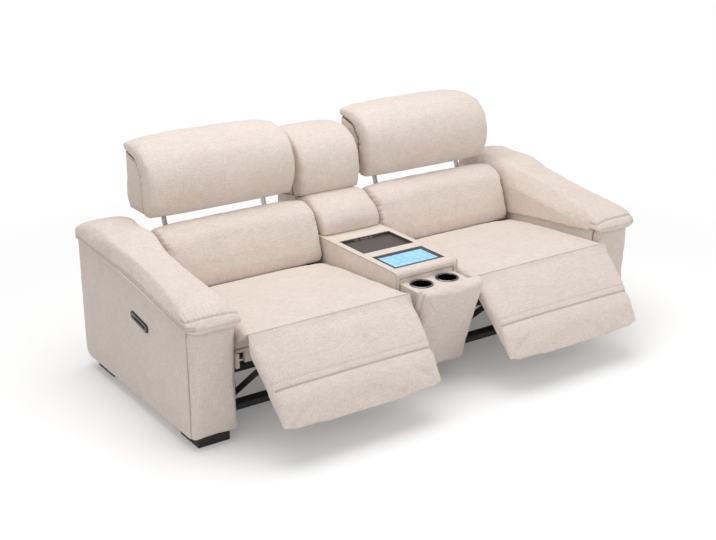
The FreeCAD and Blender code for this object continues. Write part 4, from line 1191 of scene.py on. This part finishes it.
@dataclass
class Arm:
    """A soft arm pad with its front seams, and the padded panel on the arm's front."""

    pad_node: str = "arm_pad_left"
    front_seam: float = 0.547
    low_seam: float = 0.512
    edge_seam: float = 14 * MM
    edge_gap: float = 9 * MM
    panel_seam_y: float = -0.352
    front_limit: float = -0.345
    pucker_limit: float = -0.36
    board_front: float = -0.37
    side_width: float = 35 * MM
    skirt_depth: float = 16 * MM
    top_line: tuple[Section, ...] = ((-0.35, 0.5), (0.173, 0.562), (0.623, 0.592))
    skirt_line: tuple[Section, ...] = (
        (-0.37, 0.515), (-0.33, 0.49), (-0.227, 0.476), (0.005, 0.457), (0.181, 0.434), (0.5, 0.434),
        (0.58, 0.5), (0.58, 0.61), (0.173, 0.60), (-0.36, 0.54)
    )

    def edge_height(self, points: Points) -> np.ndarray:
        """Return each vertex's height above the pad's lower edge.

        Args:
            points: Rows of X, Y and Z.

        Returns:
            The height in metres.
        """
        heights = np.interp(
            points[:, 1], [place for place, _ in self.top_line], [height for _, height in self.top_line]
        )
        return points[:, 2] - heights

    def covers(self) -> list[PaddedCover]:
        """Return the arm pad's cover.

        Returns:
            The covers, ready to be simulated.
        """
        low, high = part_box(self.pad_node)

        def across_front(height: float, arch: float) -> Measure:
            """Return the distance from a seam across the pad's front at a height, arched down at its ends.

            Args:
                height: The seam's height in metres.
                arch: How far the seam's ends bend down.

            Returns:
                The measure.
            """

            def reach(points: Points) -> np.ndarray:
                """Measure the distance along the surface, and keep it off the sides and the back.

                Args:
                    points: Rows of X, Y and Z.

                Returns:
                    The distance in metres.
                """
                share = (points[:, 0] - low.x) / (high.x - low.x)
                seam = height - arch * (2 * np.abs(share - 0.45)) ** 4
                behind = np.maximum(points[:, 1] - self.front_limit, 0)
                return np.hypot(points[:, 2] - seam, behind * 3)

            return reach

        def along_edge(offset: float) -> Measure:
            """Return the distance from a stitched line above the pad's outer lower edge.

            Args:
                offset: The height above the edge in metres.

            Returns:
                The measure.
            """

            def reach(points: Points) -> np.ndarray:
                """Measure on the outer side only."""
                inside = np.maximum(points[:, 0] - (low.x + self.side_width), 0)
                return np.hypot(self.edge_height(points) - offset, inside * 4)

            return reach

        def puckers(points: Points) -> tuple[np.ndarray, np.ndarray]:
            """Measure the short folds above the front seam.

            Args:
                points: Rows of X, Y and Z.

            Returns:
                The place along the seam and the distance from it.
            """
            behind = np.maximum(points[:, 1] - self.pucker_limit, 0)
            above = points[:, 2] - self.front_seam
            return points[:, 0], np.hypot(np.where(above > 0, above, above * 3), behind)

        def on_boards(points: Points, normals: Points) -> np.ndarray:
            """Pick the underside, except where the pad rolls over the front."""
            return facing((0, 0.1, -1), 0.8)(points, normals) & (points[:, 1] > self.board_front)

        def on_skirt(points: Points, normals: Points) -> np.ndarray:
            """Pick the drop inside the arm, which stays flat against the boards."""
            return (points[:, 0] > high.x - 20 * MM) & (self.edge_height(points) < 6 * MM)

        def skirt(work: bmesh.types.BMesh) -> None:
            """Add the soft drop inside the arm, from the pad down to the seat.

            Args:
                work: The mesh being made.
            """
            corners = [(y, z) for y, z in self.skirt_line]
            start = [work.verts.new((high.x - self.skirt_depth, y, z)) for y, z in corners]
            face = work.faces.new(start)
            grown = bmesh.ops.extrude_face_region(work, geom=[face], use_keep_orig=True)
            moved = [item for item in grown["geom"] if isinstance(item, bmesh.types.BMVert)]
            bmesh.ops.translate(work, vec=(self.skirt_depth, 0, 0), verts=moved)
            bmesh.ops.recalc_face_normals(work, faces=work.faces)

        return [
            PaddedCover(
                self.pad_node,
                "base",
                fill=0.7,
                held=any_of(on_boards, on_skirt),
                rounding=10,
                voxel=7 * MM,
                grow=(3 * MM, 0.0, 3 * MM, 0.0, 0.0, 3 * MM),
                addition=skirt,
                grooves=[
                    Groove(across_front(self.front_seam, 16 * MM), depth=2.4 * MM, width=5 * MM, dark=0.42),
                    Groove(across_front(self.low_seam, 6 * MM), depth=1 * MM, width=4 * MM, dark=0.22),
                    Groove(along_edge(self.edge_seam), depth=2.5 * MM, width=4 * MM, dark=0.5),
                    Groove(along_edge(self.edge_seam + self.edge_gap), depth=2 * MM, width=4 * MM, dark=0.35),
                ],
                gathers=[Gather(puckers, pitch=19 * MM, height=2 * MM, length=28 * MM)],
            )
        ]

    def front_covers(self) -> list[PaddedCover]:
        """Return the cover of the padded panels on both arms' fronts.

        Returns:
            The cover, ready to be simulated.
        """

        def panel_seam(points: Points) -> np.ndarray:
            """Measure the sewn seam round the panel, near its back."""
            return np.abs(points[:, 1] - self.panel_seam_y)

        return [
            PaddedCover(
                "arm_front_panels",
                "base",
                fill=0.85,
                held=facing((0, 1, 0), 0.7),
                voxel=7 * MM,
                pressure=2.0,
                swells=0.6 * MM,
                grow=(0.0, -4 * MM, 3 * MM, 0.0, 0.0, 0.0),
                grooves=[Groove(panel_seam, depth=0.0, width=3 * MM, dark=0.9, mark=4 * MM)],
                only_left=True,
            )
        ]


@dataclass
class Seat:
    """One seat: its cushion, its leg rest and its low back."""

    side: Side = Side.LEFT
    crease: float = 0.237
    faint_line: float = 0.208
    roll_middle: float = 0.29
    panel_middle: float = 0.12

    def body(self, name: str) -> str:
        """Return the name of this side's body."""
        return f"{name}_{self.side.value}"

    def covers(self) -> list[PaddedCover]:
        """Return the seat's, the leg rest's and the low back's covers.

        Returns:
            The covers, ready to be simulated.
        """
        seat_low, seat_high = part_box(self.body("seat_cushion"))
        back_low, back_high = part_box(self.body("back_cushion"))
        seam = near_line(SEAM_Y, SEAM_Z, 14 * MM)
        hang = (0, math.cos(LEGREST_ANGLE), -math.sin(LEGREST_ANGLE))

        def legrest_line(drop: float) -> Measure:
            """Return the distance from a line across the leg rest's front, at a distance below the seam.

            Args:
                drop: The distance below the seam in metres.

            Returns:
                The measure.
            """

            def reach(points: Points) -> np.ndarray:
                """Measure along the leg rest's slope, on its front only."""
                across, up = to_section(points, (SEAM_Y, SEAM_Z), LEGREST_ANGLE)
                return np.hypot(up + drop, np.maximum(across - 20 * MM, 0) * 3)

            return reach

        def shared_seam(points: Points) -> np.ndarray:
            """Measure the distance from the seam that seat and leg rest share."""
            return np.hypot(points[:, 1] - SEAM_Y, points[:, 2] - SEAM_Z)

        def rim(points: Points) -> tuple[np.ndarray, np.ndarray]:
            """Measure the gathers that run in from the low back's ends.

            Args:
                points: Rows of X, Y and Z.

            Returns:
                The place along the end and the distance from it.
            """
            across, up = to_section(points, PIVOT, BACK_LEAN)
            end = np.minimum(points[:, 0] - back_low.x, back_high.x - points[:, 0])
            # Only the front half has gathers, and none near its foot
            front = smooth_step((0.03 - across) / 0.05) * smooth_step((up - 0.05) / 0.06)
            return up, end + (1 - front) * OUT_OF_REACH

        lean = (0, math.cos(BACK_LEAN), -math.sin(BACK_LEAN))
        return [
            PaddedCover(
                self.body("seat_cushion"),
                self.body("seat"),
                fill=0.7,
                held=any_of(
                    facing((0, 0, -1), 0.6), facing((0, 1, 0), 0.7), facing((0, -0.57, -0.82), 0.8), seam
                ),
                rounding=5,
                pinch=(SEAM_Y, SEAM_Z),
                grow=(1 * MM, 2 * MM, 0.0, 8 * MM, 0.0, 2 * MM),
                grooves=[Groove(shared_seam, depth=0.0, dark=0.38, mark=3.2 * MM)],
            ),
            PaddedCover(
                self.body("legrest_cushion"),
                self.body("legrest"),
                fill=0.65,
                held=any_of(facing(hang, 0.75), seam),
                rounding=7,
                voxel=8 * MM,
                calm=3,
                foot=(SEAM_Y, SEAM_Z),
                lean=LEGREST_ANGLE,
                pinch=(SEAM_Y, SEAM_Z),
                pinch_fade=0.2,
                grow=(8 * MM, 17 * MM, 1 * MM, 0.0, 8 * MM, 0.0),
                grooves=[
                    Groove(legrest_line(self.crease), depth=2.5 * MM, width=6 * MM, dark=0.55),
                    Groove(legrest_line(self.faint_line), depth=0.8 * MM, width=4 * MM, dark=0.15),
                    Groove(legrest_line(self.roll_middle), depth=-5 * MM, width=34 * MM, dark=0.0),
                    Groove(legrest_line(self.panel_middle), depth=-3 * MM, width=70 * MM, dark=0.0),
                    Groove(shared_seam, depth=0.0, dark=0.38, mark=3.2 * MM),
                ],
            ),
            PaddedCover(
                self.body("back_cushion"),
                self.body("back"),
                fill=0.7,
                held=any_of(facing(lean, 0.7), facing((0, 0, -1), 0.75)),
                rounding=5,
                foot=PIVOT,
                lean=BACK_LEAN,
                grow=(1 * MM, 1 * MM, 2 * MM, 0.0, 0.0, 1 * MM),
                gathers=[Gather(rim, pitch=21 * MM, height=1.1 * MM, length=34 * MM)],
            ),
        ]


@dataclass
class Centre:
    """The fixed middle: the low cushion behind the console, and the drawer's padded front."""

    drawer_foot: Section = (-0.345, 0.083)
    drawer_lean: float = -math.radians(19)
    seam_depth: float = 0.034
    seam_side: float = 0.145
    corner: Section = (-0.15, 0.42)
    fold_radius: float = 55 * MM
    fold_front: float = 0.03

    def covers(self) -> list[PaddedCover]:
        """Return the covers of the low cushion and the drawer front.

        Returns:
            The covers, ready to be simulated.
        """
        low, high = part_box("drawer_front_panel")
        inner = (0, math.cos(self.drawer_lean), -math.sin(self.drawer_lean))

        def side_seam(points: Points) -> np.ndarray:
            """Measure the sewn line down each side of the drawer's front.

            Args:
                points: Rows of X, Y and Z.

            Returns:
                The distance in metres.
            """
            across, up = to_section(points, self.drawer_foot, self.drawer_lean)
            off_side = np.maximum(self.seam_side - np.abs(points[:, 0]), 0)
            return np.hypot(across + self.seam_depth, off_side * 2)

        def corner_folds(points: Points) -> tuple[np.ndarray, np.ndarray]:
            """Measure the soft folds that fan out from the upper left corner of the face.

            Args:
                points: Rows of X, Y and Z.

            Returns:
                The place round the corner and the distance from the folds' middle.
            """
            across, up = to_section(points, self.drawer_foot, self.drawer_lean)
            left, below = points[:, 0] - self.corner[0], self.corner[1] - up
            angle = np.arctan2(np.maximum(below, 0), np.maximum(left, 1e-4))
            front = np.maximum(across + self.fold_front, 0)
            away = np.hypot(left, below)
            return angle * 60 * MM, np.hypot(np.abs(away - self.fold_radius), front * 3)

        return [
            PaddedCover(
                "centre_back_cushion",
                "base",
                fill=0.7,
                held=any_of(facing((0, 0, -1), 0.7), facing((0, 1, 0), 0.7)),
                rounding=5,
                swell=3 * MM,
            ),
            PaddedCover(
                "drawer_front_panel",
                "cup_drawer",
                fill=0.85,
                held=facing(inner, 0.7),
                voxel=7 * MM,
                rounding=7,
                pressure=2.0,
                swells=0.6 * MM,
                foot=self.drawer_foot,
                lean=self.drawer_lean,
                grow=(0.0, 0.0, 4 * MM, 0.0, 1 * MM, 1 * MM),
                grooves=[Groove(side_seam, depth=1.5 * MM, width=3.5 * MM, dark=0.35)],
                gathers=[Gather(corner_folds, pitch=24 * MM, height=1.6 * MM, length=60 * MM)],
            ),
        ]


@dataclass
class BoardCover:
    """Cloth stretched over boards: the solid's own form, with its sharp edges eased."""

    node: str
    body: str
    ease: float = 6 * MM
    edges: Edge = Edge.ALL
    segments: int = 4

    def picks(self, edge: bmesh.types.BMEdge, low: Vector, high: Vector) -> bool:
        """Return whether an edge is sharp and is one of those to ease.

        Args:
            edge: The edge.
            low: The low corner of the node's box.
            high: The high corner of the node's box.

        Returns:
            True for an edge to ease.
        """
        if len(edge.link_faces) != 2 or edge.calc_face_angle(0.0) < SHARP:
            return False
        if not edge.is_convex:
            return False
        if self.edges is Edge.ALL:
            return True
        sides = ((0, low), (0, high), (1, low), (1, high), (2, high), (2, low))
        touching = 0
        for axis, corner in sides:
            touching += all(abs(vertex.co[axis] - corner[axis]) < 0.5 * MM for vertex in edge.verts)
        return touching >= 1

    def build(self, material: bpy.types.Material) -> bpy.types.Object:
        """Make the cover and return it.

        Args:
            material: The cloth.

        Returns:
            The new object.
        """
        low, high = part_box(self.node)
        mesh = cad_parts[self.node].data.copy()
        work = bmesh.new()
        work.from_mesh(mesh)
        bmesh.ops.remove_doubles(work, verts=work.verts, dist=WELD)
        bmesh.ops.dissolve_limit(work, angle_limit=FLAT, verts=work.verts, edges=work.edges)
        sharp = [edge for edge in work.edges if self.picks(edge, low, high)]
        bmesh.ops.bevel(
            work,
            geom=sharp,
            offset=self.ease,
            offset_type="OFFSET",
            affect="EDGES",
            segments=self.segments,
            profile=0.5,
            material=-1,
            clamp_overlap=True,
        )
        work.to_mesh(mesh)
        work.free()
        piece = show(f"{self.node}_cover", mesh, material)
        mesh.shade_smooth()
        mesh.set_sharp_from_angle(angle=SHARP)
        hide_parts(self.node)
        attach(piece, self.body)
        LOG.info("%s: %d faces on %s", piece.name, len(mesh.polygons), self.body)
        return piece


@dataclass
class Piping:
    """A thin cloth-covered cord sewn along an edge, and along its mirror image where it has one."""

    name: str
    body: str
    line: tuple[tuple[float, float, float], ...]
    radius: float = 2 * MM
    # How strongly the whole cord is painted with seam shade, so that it reads as a dark seam line
    dark: float = 0.45
    mirrored: bool = True

    def build(self, material: bpy.types.Material) -> None:
        """Make the piping as one smooth tube a side.

        Args:
            material: The cloth.
        """
        curve = bpy.data.curves.new(self.name, "CURVE")
        curve.dimensions = "3D"
        curve.bevel_depth = self.radius
        curve.bevel_resolution = 3
        curve.use_fill_caps = True
        curve.resolution_u = 6
        for sign in (1, -1) if self.mirrored else (1,):
            spline = curve.splines.new("NURBS")
            spline.points.add(len(self.line) - 1)
            for point, place in zip(spline.points, self.line):
                point.co = (place[0] * sign, place[1], place[2], 1)
            spline.order_u = 3
            spline.use_endpoint_u = True
        rough = bpy.data.objects.new(f"{self.name}_line", curve)
        bpy.context.scene.collection.objects.link(rough)
        mesh = baked(rough)
        bpy.data.objects.remove(rough)
        mesh.shade_smooth()
        # Painted shade on the cord, which draws it as a dark seam line
        attribute = mesh.attributes.new("seam", "FLOAT", "POINT")
        attribute.data.foreach_set("value", np.full(len(mesh.vertices), self.dark, np.float32))
        piece = show(self.name, mesh, material)
        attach(piece, self.body)
        LOG.info("%s: %d faces on %s", self.name, len(mesh.polygons), self.body)


def pipings() -> list[Piping]:
    """Return the piping of the console.

    Returns:
        The pipings.
    """
    front, rear, top = -0.337, 0.318, 0.5115
    console = (
        (0.159, rear, top - 0.004), (0.159, 0.0, top - 0.004), (0.159, front + 0.03, top - 0.004),
        (0.159, front + 0.002, top - 0.004), (0.159, front + 0.001, top - 0.026), (0.159, front + 0.001, 0.2),
    )
    return [Piping("console_piping", "base", console)]


def upholster(covers: Sequence[PaddedCover], cloth: bpy.types.Material) -> None:
    """Simulate all covers at once, finish them and mirror those of the left side.

    Args:
        covers: The covers of the left side and the middle.
        cloth: Their material.
    """
    for cover in covers:
        cover.start()
    scene = bpy.context.scene
    for number in range(1, LAST_FRAME + 1):
        scene.frame_set(number)
    finished = [cover.settle(cloth) for cover in covers]
    bpy.context.scene.frame_set(1)
    for cover, mesh in zip(covers, finished):
        if cover.only_left:
            both = joined_mesh(mesh, mirrored_mesh(mesh))
            cover.finish(both, f"{cover.node}_cover", cover.node, cover.body, cloth)
            continue
        cover.finish(mesh, f"{cover.node}_cover", cover.node, cover.body, cloth)
        if cover.node.endswith("_left"):
            node = cover.node.replace("_left", "_right")
            body = cover.body.replace("_left", "_right")
            cover.finish(mirrored_mesh(mesh), f"{node}_cover", node, body, cloth)


def board_covers() -> list[BoardCover]:
    """Return the covers of everything that is cloth over boards.

    Returns:
        The covers.
    """
    covers = [
        BoardCover("console_shell", "base", 8 * MM, Edge.OUTSIDE),
        BoardCover("centre_back_cover", "base", 6 * MM, Edge.OUTSIDE),
        BoardCover("drawer_box", "cup_drawer", 2 * MM, Edge.OUTSIDE),
    ]
    for side in Side:
        covers.append(BoardCover(f"arm_shell_{side.value}", "base", 8 * MM, Edge.OUTSIDE))
        covers.append(BoardCover(f"seat_box_{side.value}", f"seat_{side.value}", 3 * MM))
        covers.append(BoardCover(f"back_shell_{side.value}", f"back_{side.value}", 7 * MM, Edge.OUTSIDE))
    return covers


def dress_solids(finishes: Finishes) -> None:
    """Give every solid that stays in view its finish.

    Args:
        finishes: All materials.
    """
    sides = [side.value for side in Side]
    plan = {
        finishes.foot: ["feet"],
        finishes.steel: ["base_frame", "drawer_hinge_pins"]
        + [f"{name}_{side}" for side in sides for name in (
            "seat_mechanism", "drive_tube", "legrest_links", "legrest_brackets", "back_brackets")],
        finishes.bar: [f"headrest_bars_{side}" for side in sides],
        finishes.chrome: ["cup_rings", "control_rings"],
        finishes.silver: ["charging_sockets"],
        finishes.tray: ["storage_tray"],
        finishes.bezel: ["display_bezel"],
        finishes.screen: ["display_screen"],
        finishes.cup: ["cup_liners"],
        finishes.control: ["control_housings"],
        finishes.button: [f"control_button_{number}_{side}" for side in sides for number in range(1, 5)],
        finishes.motor: ["actuator_motors", "power_supply"],
        finishes.timber: ["timber_frames"],
    }
    for material, names in plan.items():
        for name in names:
            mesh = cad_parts[name].data
            mesh.materials.clear()
            mesh.materials.append(material)
            LOG.info("%s: %s", name, material.name)


@dataclass
class Studio:
    """Pale floor, soft light and the photograph's camera."""

    camera_place: tuple[float, float, float] = (-3.0256, -4.2316, 2.3243)
    camera_forward: tuple[float, float, float] = (0.5309, 0.7724, -0.3486)
    lens: float = 63.7
    sensor: float = 36.0
    floor_size: float = 60.0
    floor_colour: str = "F4F4F4"
    floor_lift: float = 0.16
    floor_fade: tuple[float, float] = (1.6, 2.8)
    sky: float = 0.52

    def build(self) -> None:
        """Make the floor, the lights, the world and the camera."""
        self.floor()
        self.lights()
        self.world()
        self.camera()

    def floor(self) -> None:
        """Make a plain pale floor that keeps the sofa's shadow."""
        work = bmesh.new()
        bmesh.ops.create_grid(work, x_segments=1, y_segments=1, size=self.floor_size / 2)
        mesh = bpy.data.meshes.new("floor")
        work.to_mesh(mesh)
        work.free()
        material = bpy.data.materials.new("pale_floor")
        material.use_nodes = True
        tree = material.node_tree
        tree.nodes.clear()
        diffuse = add_node(tree, "ShaderNodeBsdfDiffuse", {"Color": linear(self.floor_colour)})
        lift = add_node(tree, "ShaderNodeEmission", {"Color": (1, 1, 1, 1), "Strength": self.floor_lift})
        white = add_node(tree, "ShaderNodeEmission", {"Color": (1, 1, 1, 1), "Strength": 1.0})
        path = add_node(tree, "ShaderNodeLightPath")
        seen = combine(tree, "MAXIMUM", path.outputs["Is Camera Ray"], path.outputs["Is Glossy Ray"])
        seen = combine(tree, "MAXIMUM", seen, path.outputs["Is Transmission Ray"])
        both = add_node(tree, "ShaderNodeAddShader", {0: diffuse.outputs[0], 1: lift.outputs[0]})
        # Away from the sofa the floor turns into the white background
        place = add_node(tree, "ShaderNodeTexCoord").outputs["Object"]
        distance = add_node(tree, "ShaderNodeVectorMath", {0: place}, operation="LENGTH").outputs["Value"]
        far = ramp(tree, distance, *self.floor_fade)
        faded = add_node(tree, "ShaderNodeMixShader", {0: far, 1: both.outputs[0], 2: white.outputs[0]})
        mix = add_node(tree, "ShaderNodeMixShader", {0: seen, 1: diffuse.outputs[0], 2: faded.outputs[0]})
        add_node(tree, "ShaderNodeOutputMaterial", {"Surface": mix.outputs[0]})
        show("floor", mesh, material)

    def lights(self) -> None:
        """Hang a large soft light above the sofa, and a weaker one in front on either side."""
        for name, place, size, power in (
            ("overhead_softbox", (-0.3, 0.2, 4.0), 3.6, 94.0),
            ("left_softbox", (-3.6, -3.0, 2.2), 2.4, 16.0),
            ("right_softbox", (2.4, -3.6, 2.4), 2.4, 30.0),
        ):
            light = bpy.data.lights.new(name, "AREA")
            light.shape = "SQUARE"
            light.size = size
            light.energy = power
            lamp = bpy.data.objects.new(name, light)
            bpy.context.scene.collection.objects.link(lamp)
            lamp.location = place
            aim = Vector((0.1, 0.0, 0.4)) - Vector(place)
            lamp.rotation_euler = aim.to_track_quat("-Z", "Y").to_euler()

    def world(self) -> None:
        """Make a white background with a softer light of its own."""
        world = bpy.data.worlds.new("studio")
        bpy.context.scene.world = world
        world.use_nodes = True
        tree = world.node_tree
        tree.nodes.clear()
        path = add_node(tree, "ShaderNodeLightPath")
        seen = combine(tree, "MAXIMUM", path.outputs["Is Camera Ray"], path.outputs["Is Transmission Ray"])
        light = add_node(tree, "ShaderNodeBackground", {"Color": (1, 1, 1, 1), "Strength": self.sky})
        white = add_node(tree, "ShaderNodeBackground", {"Color": (1, 1, 1, 1), "Strength": 1.0})
        mix = add_node(tree, "ShaderNodeMixShader", {0: seen, 1: light.outputs[0], 2: white.outputs[0]})
        add_node(tree, "ShaderNodeOutputWorld", {"Surface": mix.outputs[0]})

    def camera(self) -> None:
        """Put the camera where the photograph was taken from."""
        data = bpy.data.cameras.new("camera")
        data.lens = self.lens
        data.sensor_width = self.sensor
        data.clip_end = 100.0
        camera = bpy.data.objects.new("camera", data)
        bpy.context.scene.collection.objects.link(camera)
        camera.location = self.camera_place
        camera.rotation_euler = Vector(self.camera_forward).to_track_quat("-Z", "Y").to_euler()
        bpy.context.scene.camera = camera


def main() -> None:
    """Build the sofa's looks, the studio and the camera."""
    logging.basicConfig(level=logging.INFO, format="%(name)s %(message)s")
    scene = bpy.context.scene
    scene.view_settings.view_transform = "Standard"
    finishes = Finishes.make()
    side_head = HeadCushion("headrest_pad_left", "headrest_shell_left", "headrest_left", HEAD_FOOT, 0.0)
    middle_head = HeadCushion("centre_head_pad", "centre_head_shell", "base", CENTRE_HEAD_FOOT, CENTRE_LEAN)
    arm = Arm()
    covers = arm.covers() + Seat().covers() + Centre().covers()
    covers += side_head.covers() + middle_head.covers() + arm.front_covers()
    upholster(covers, finishes.cloth)
    for cover in board_covers():
        cover.build(finishes.cloth)
    for piping in pipings():
        piping.build(finishes.cloth)
    dress_solids(finishes)
    Studio().build()


if __name__ == "__main__":
    main()
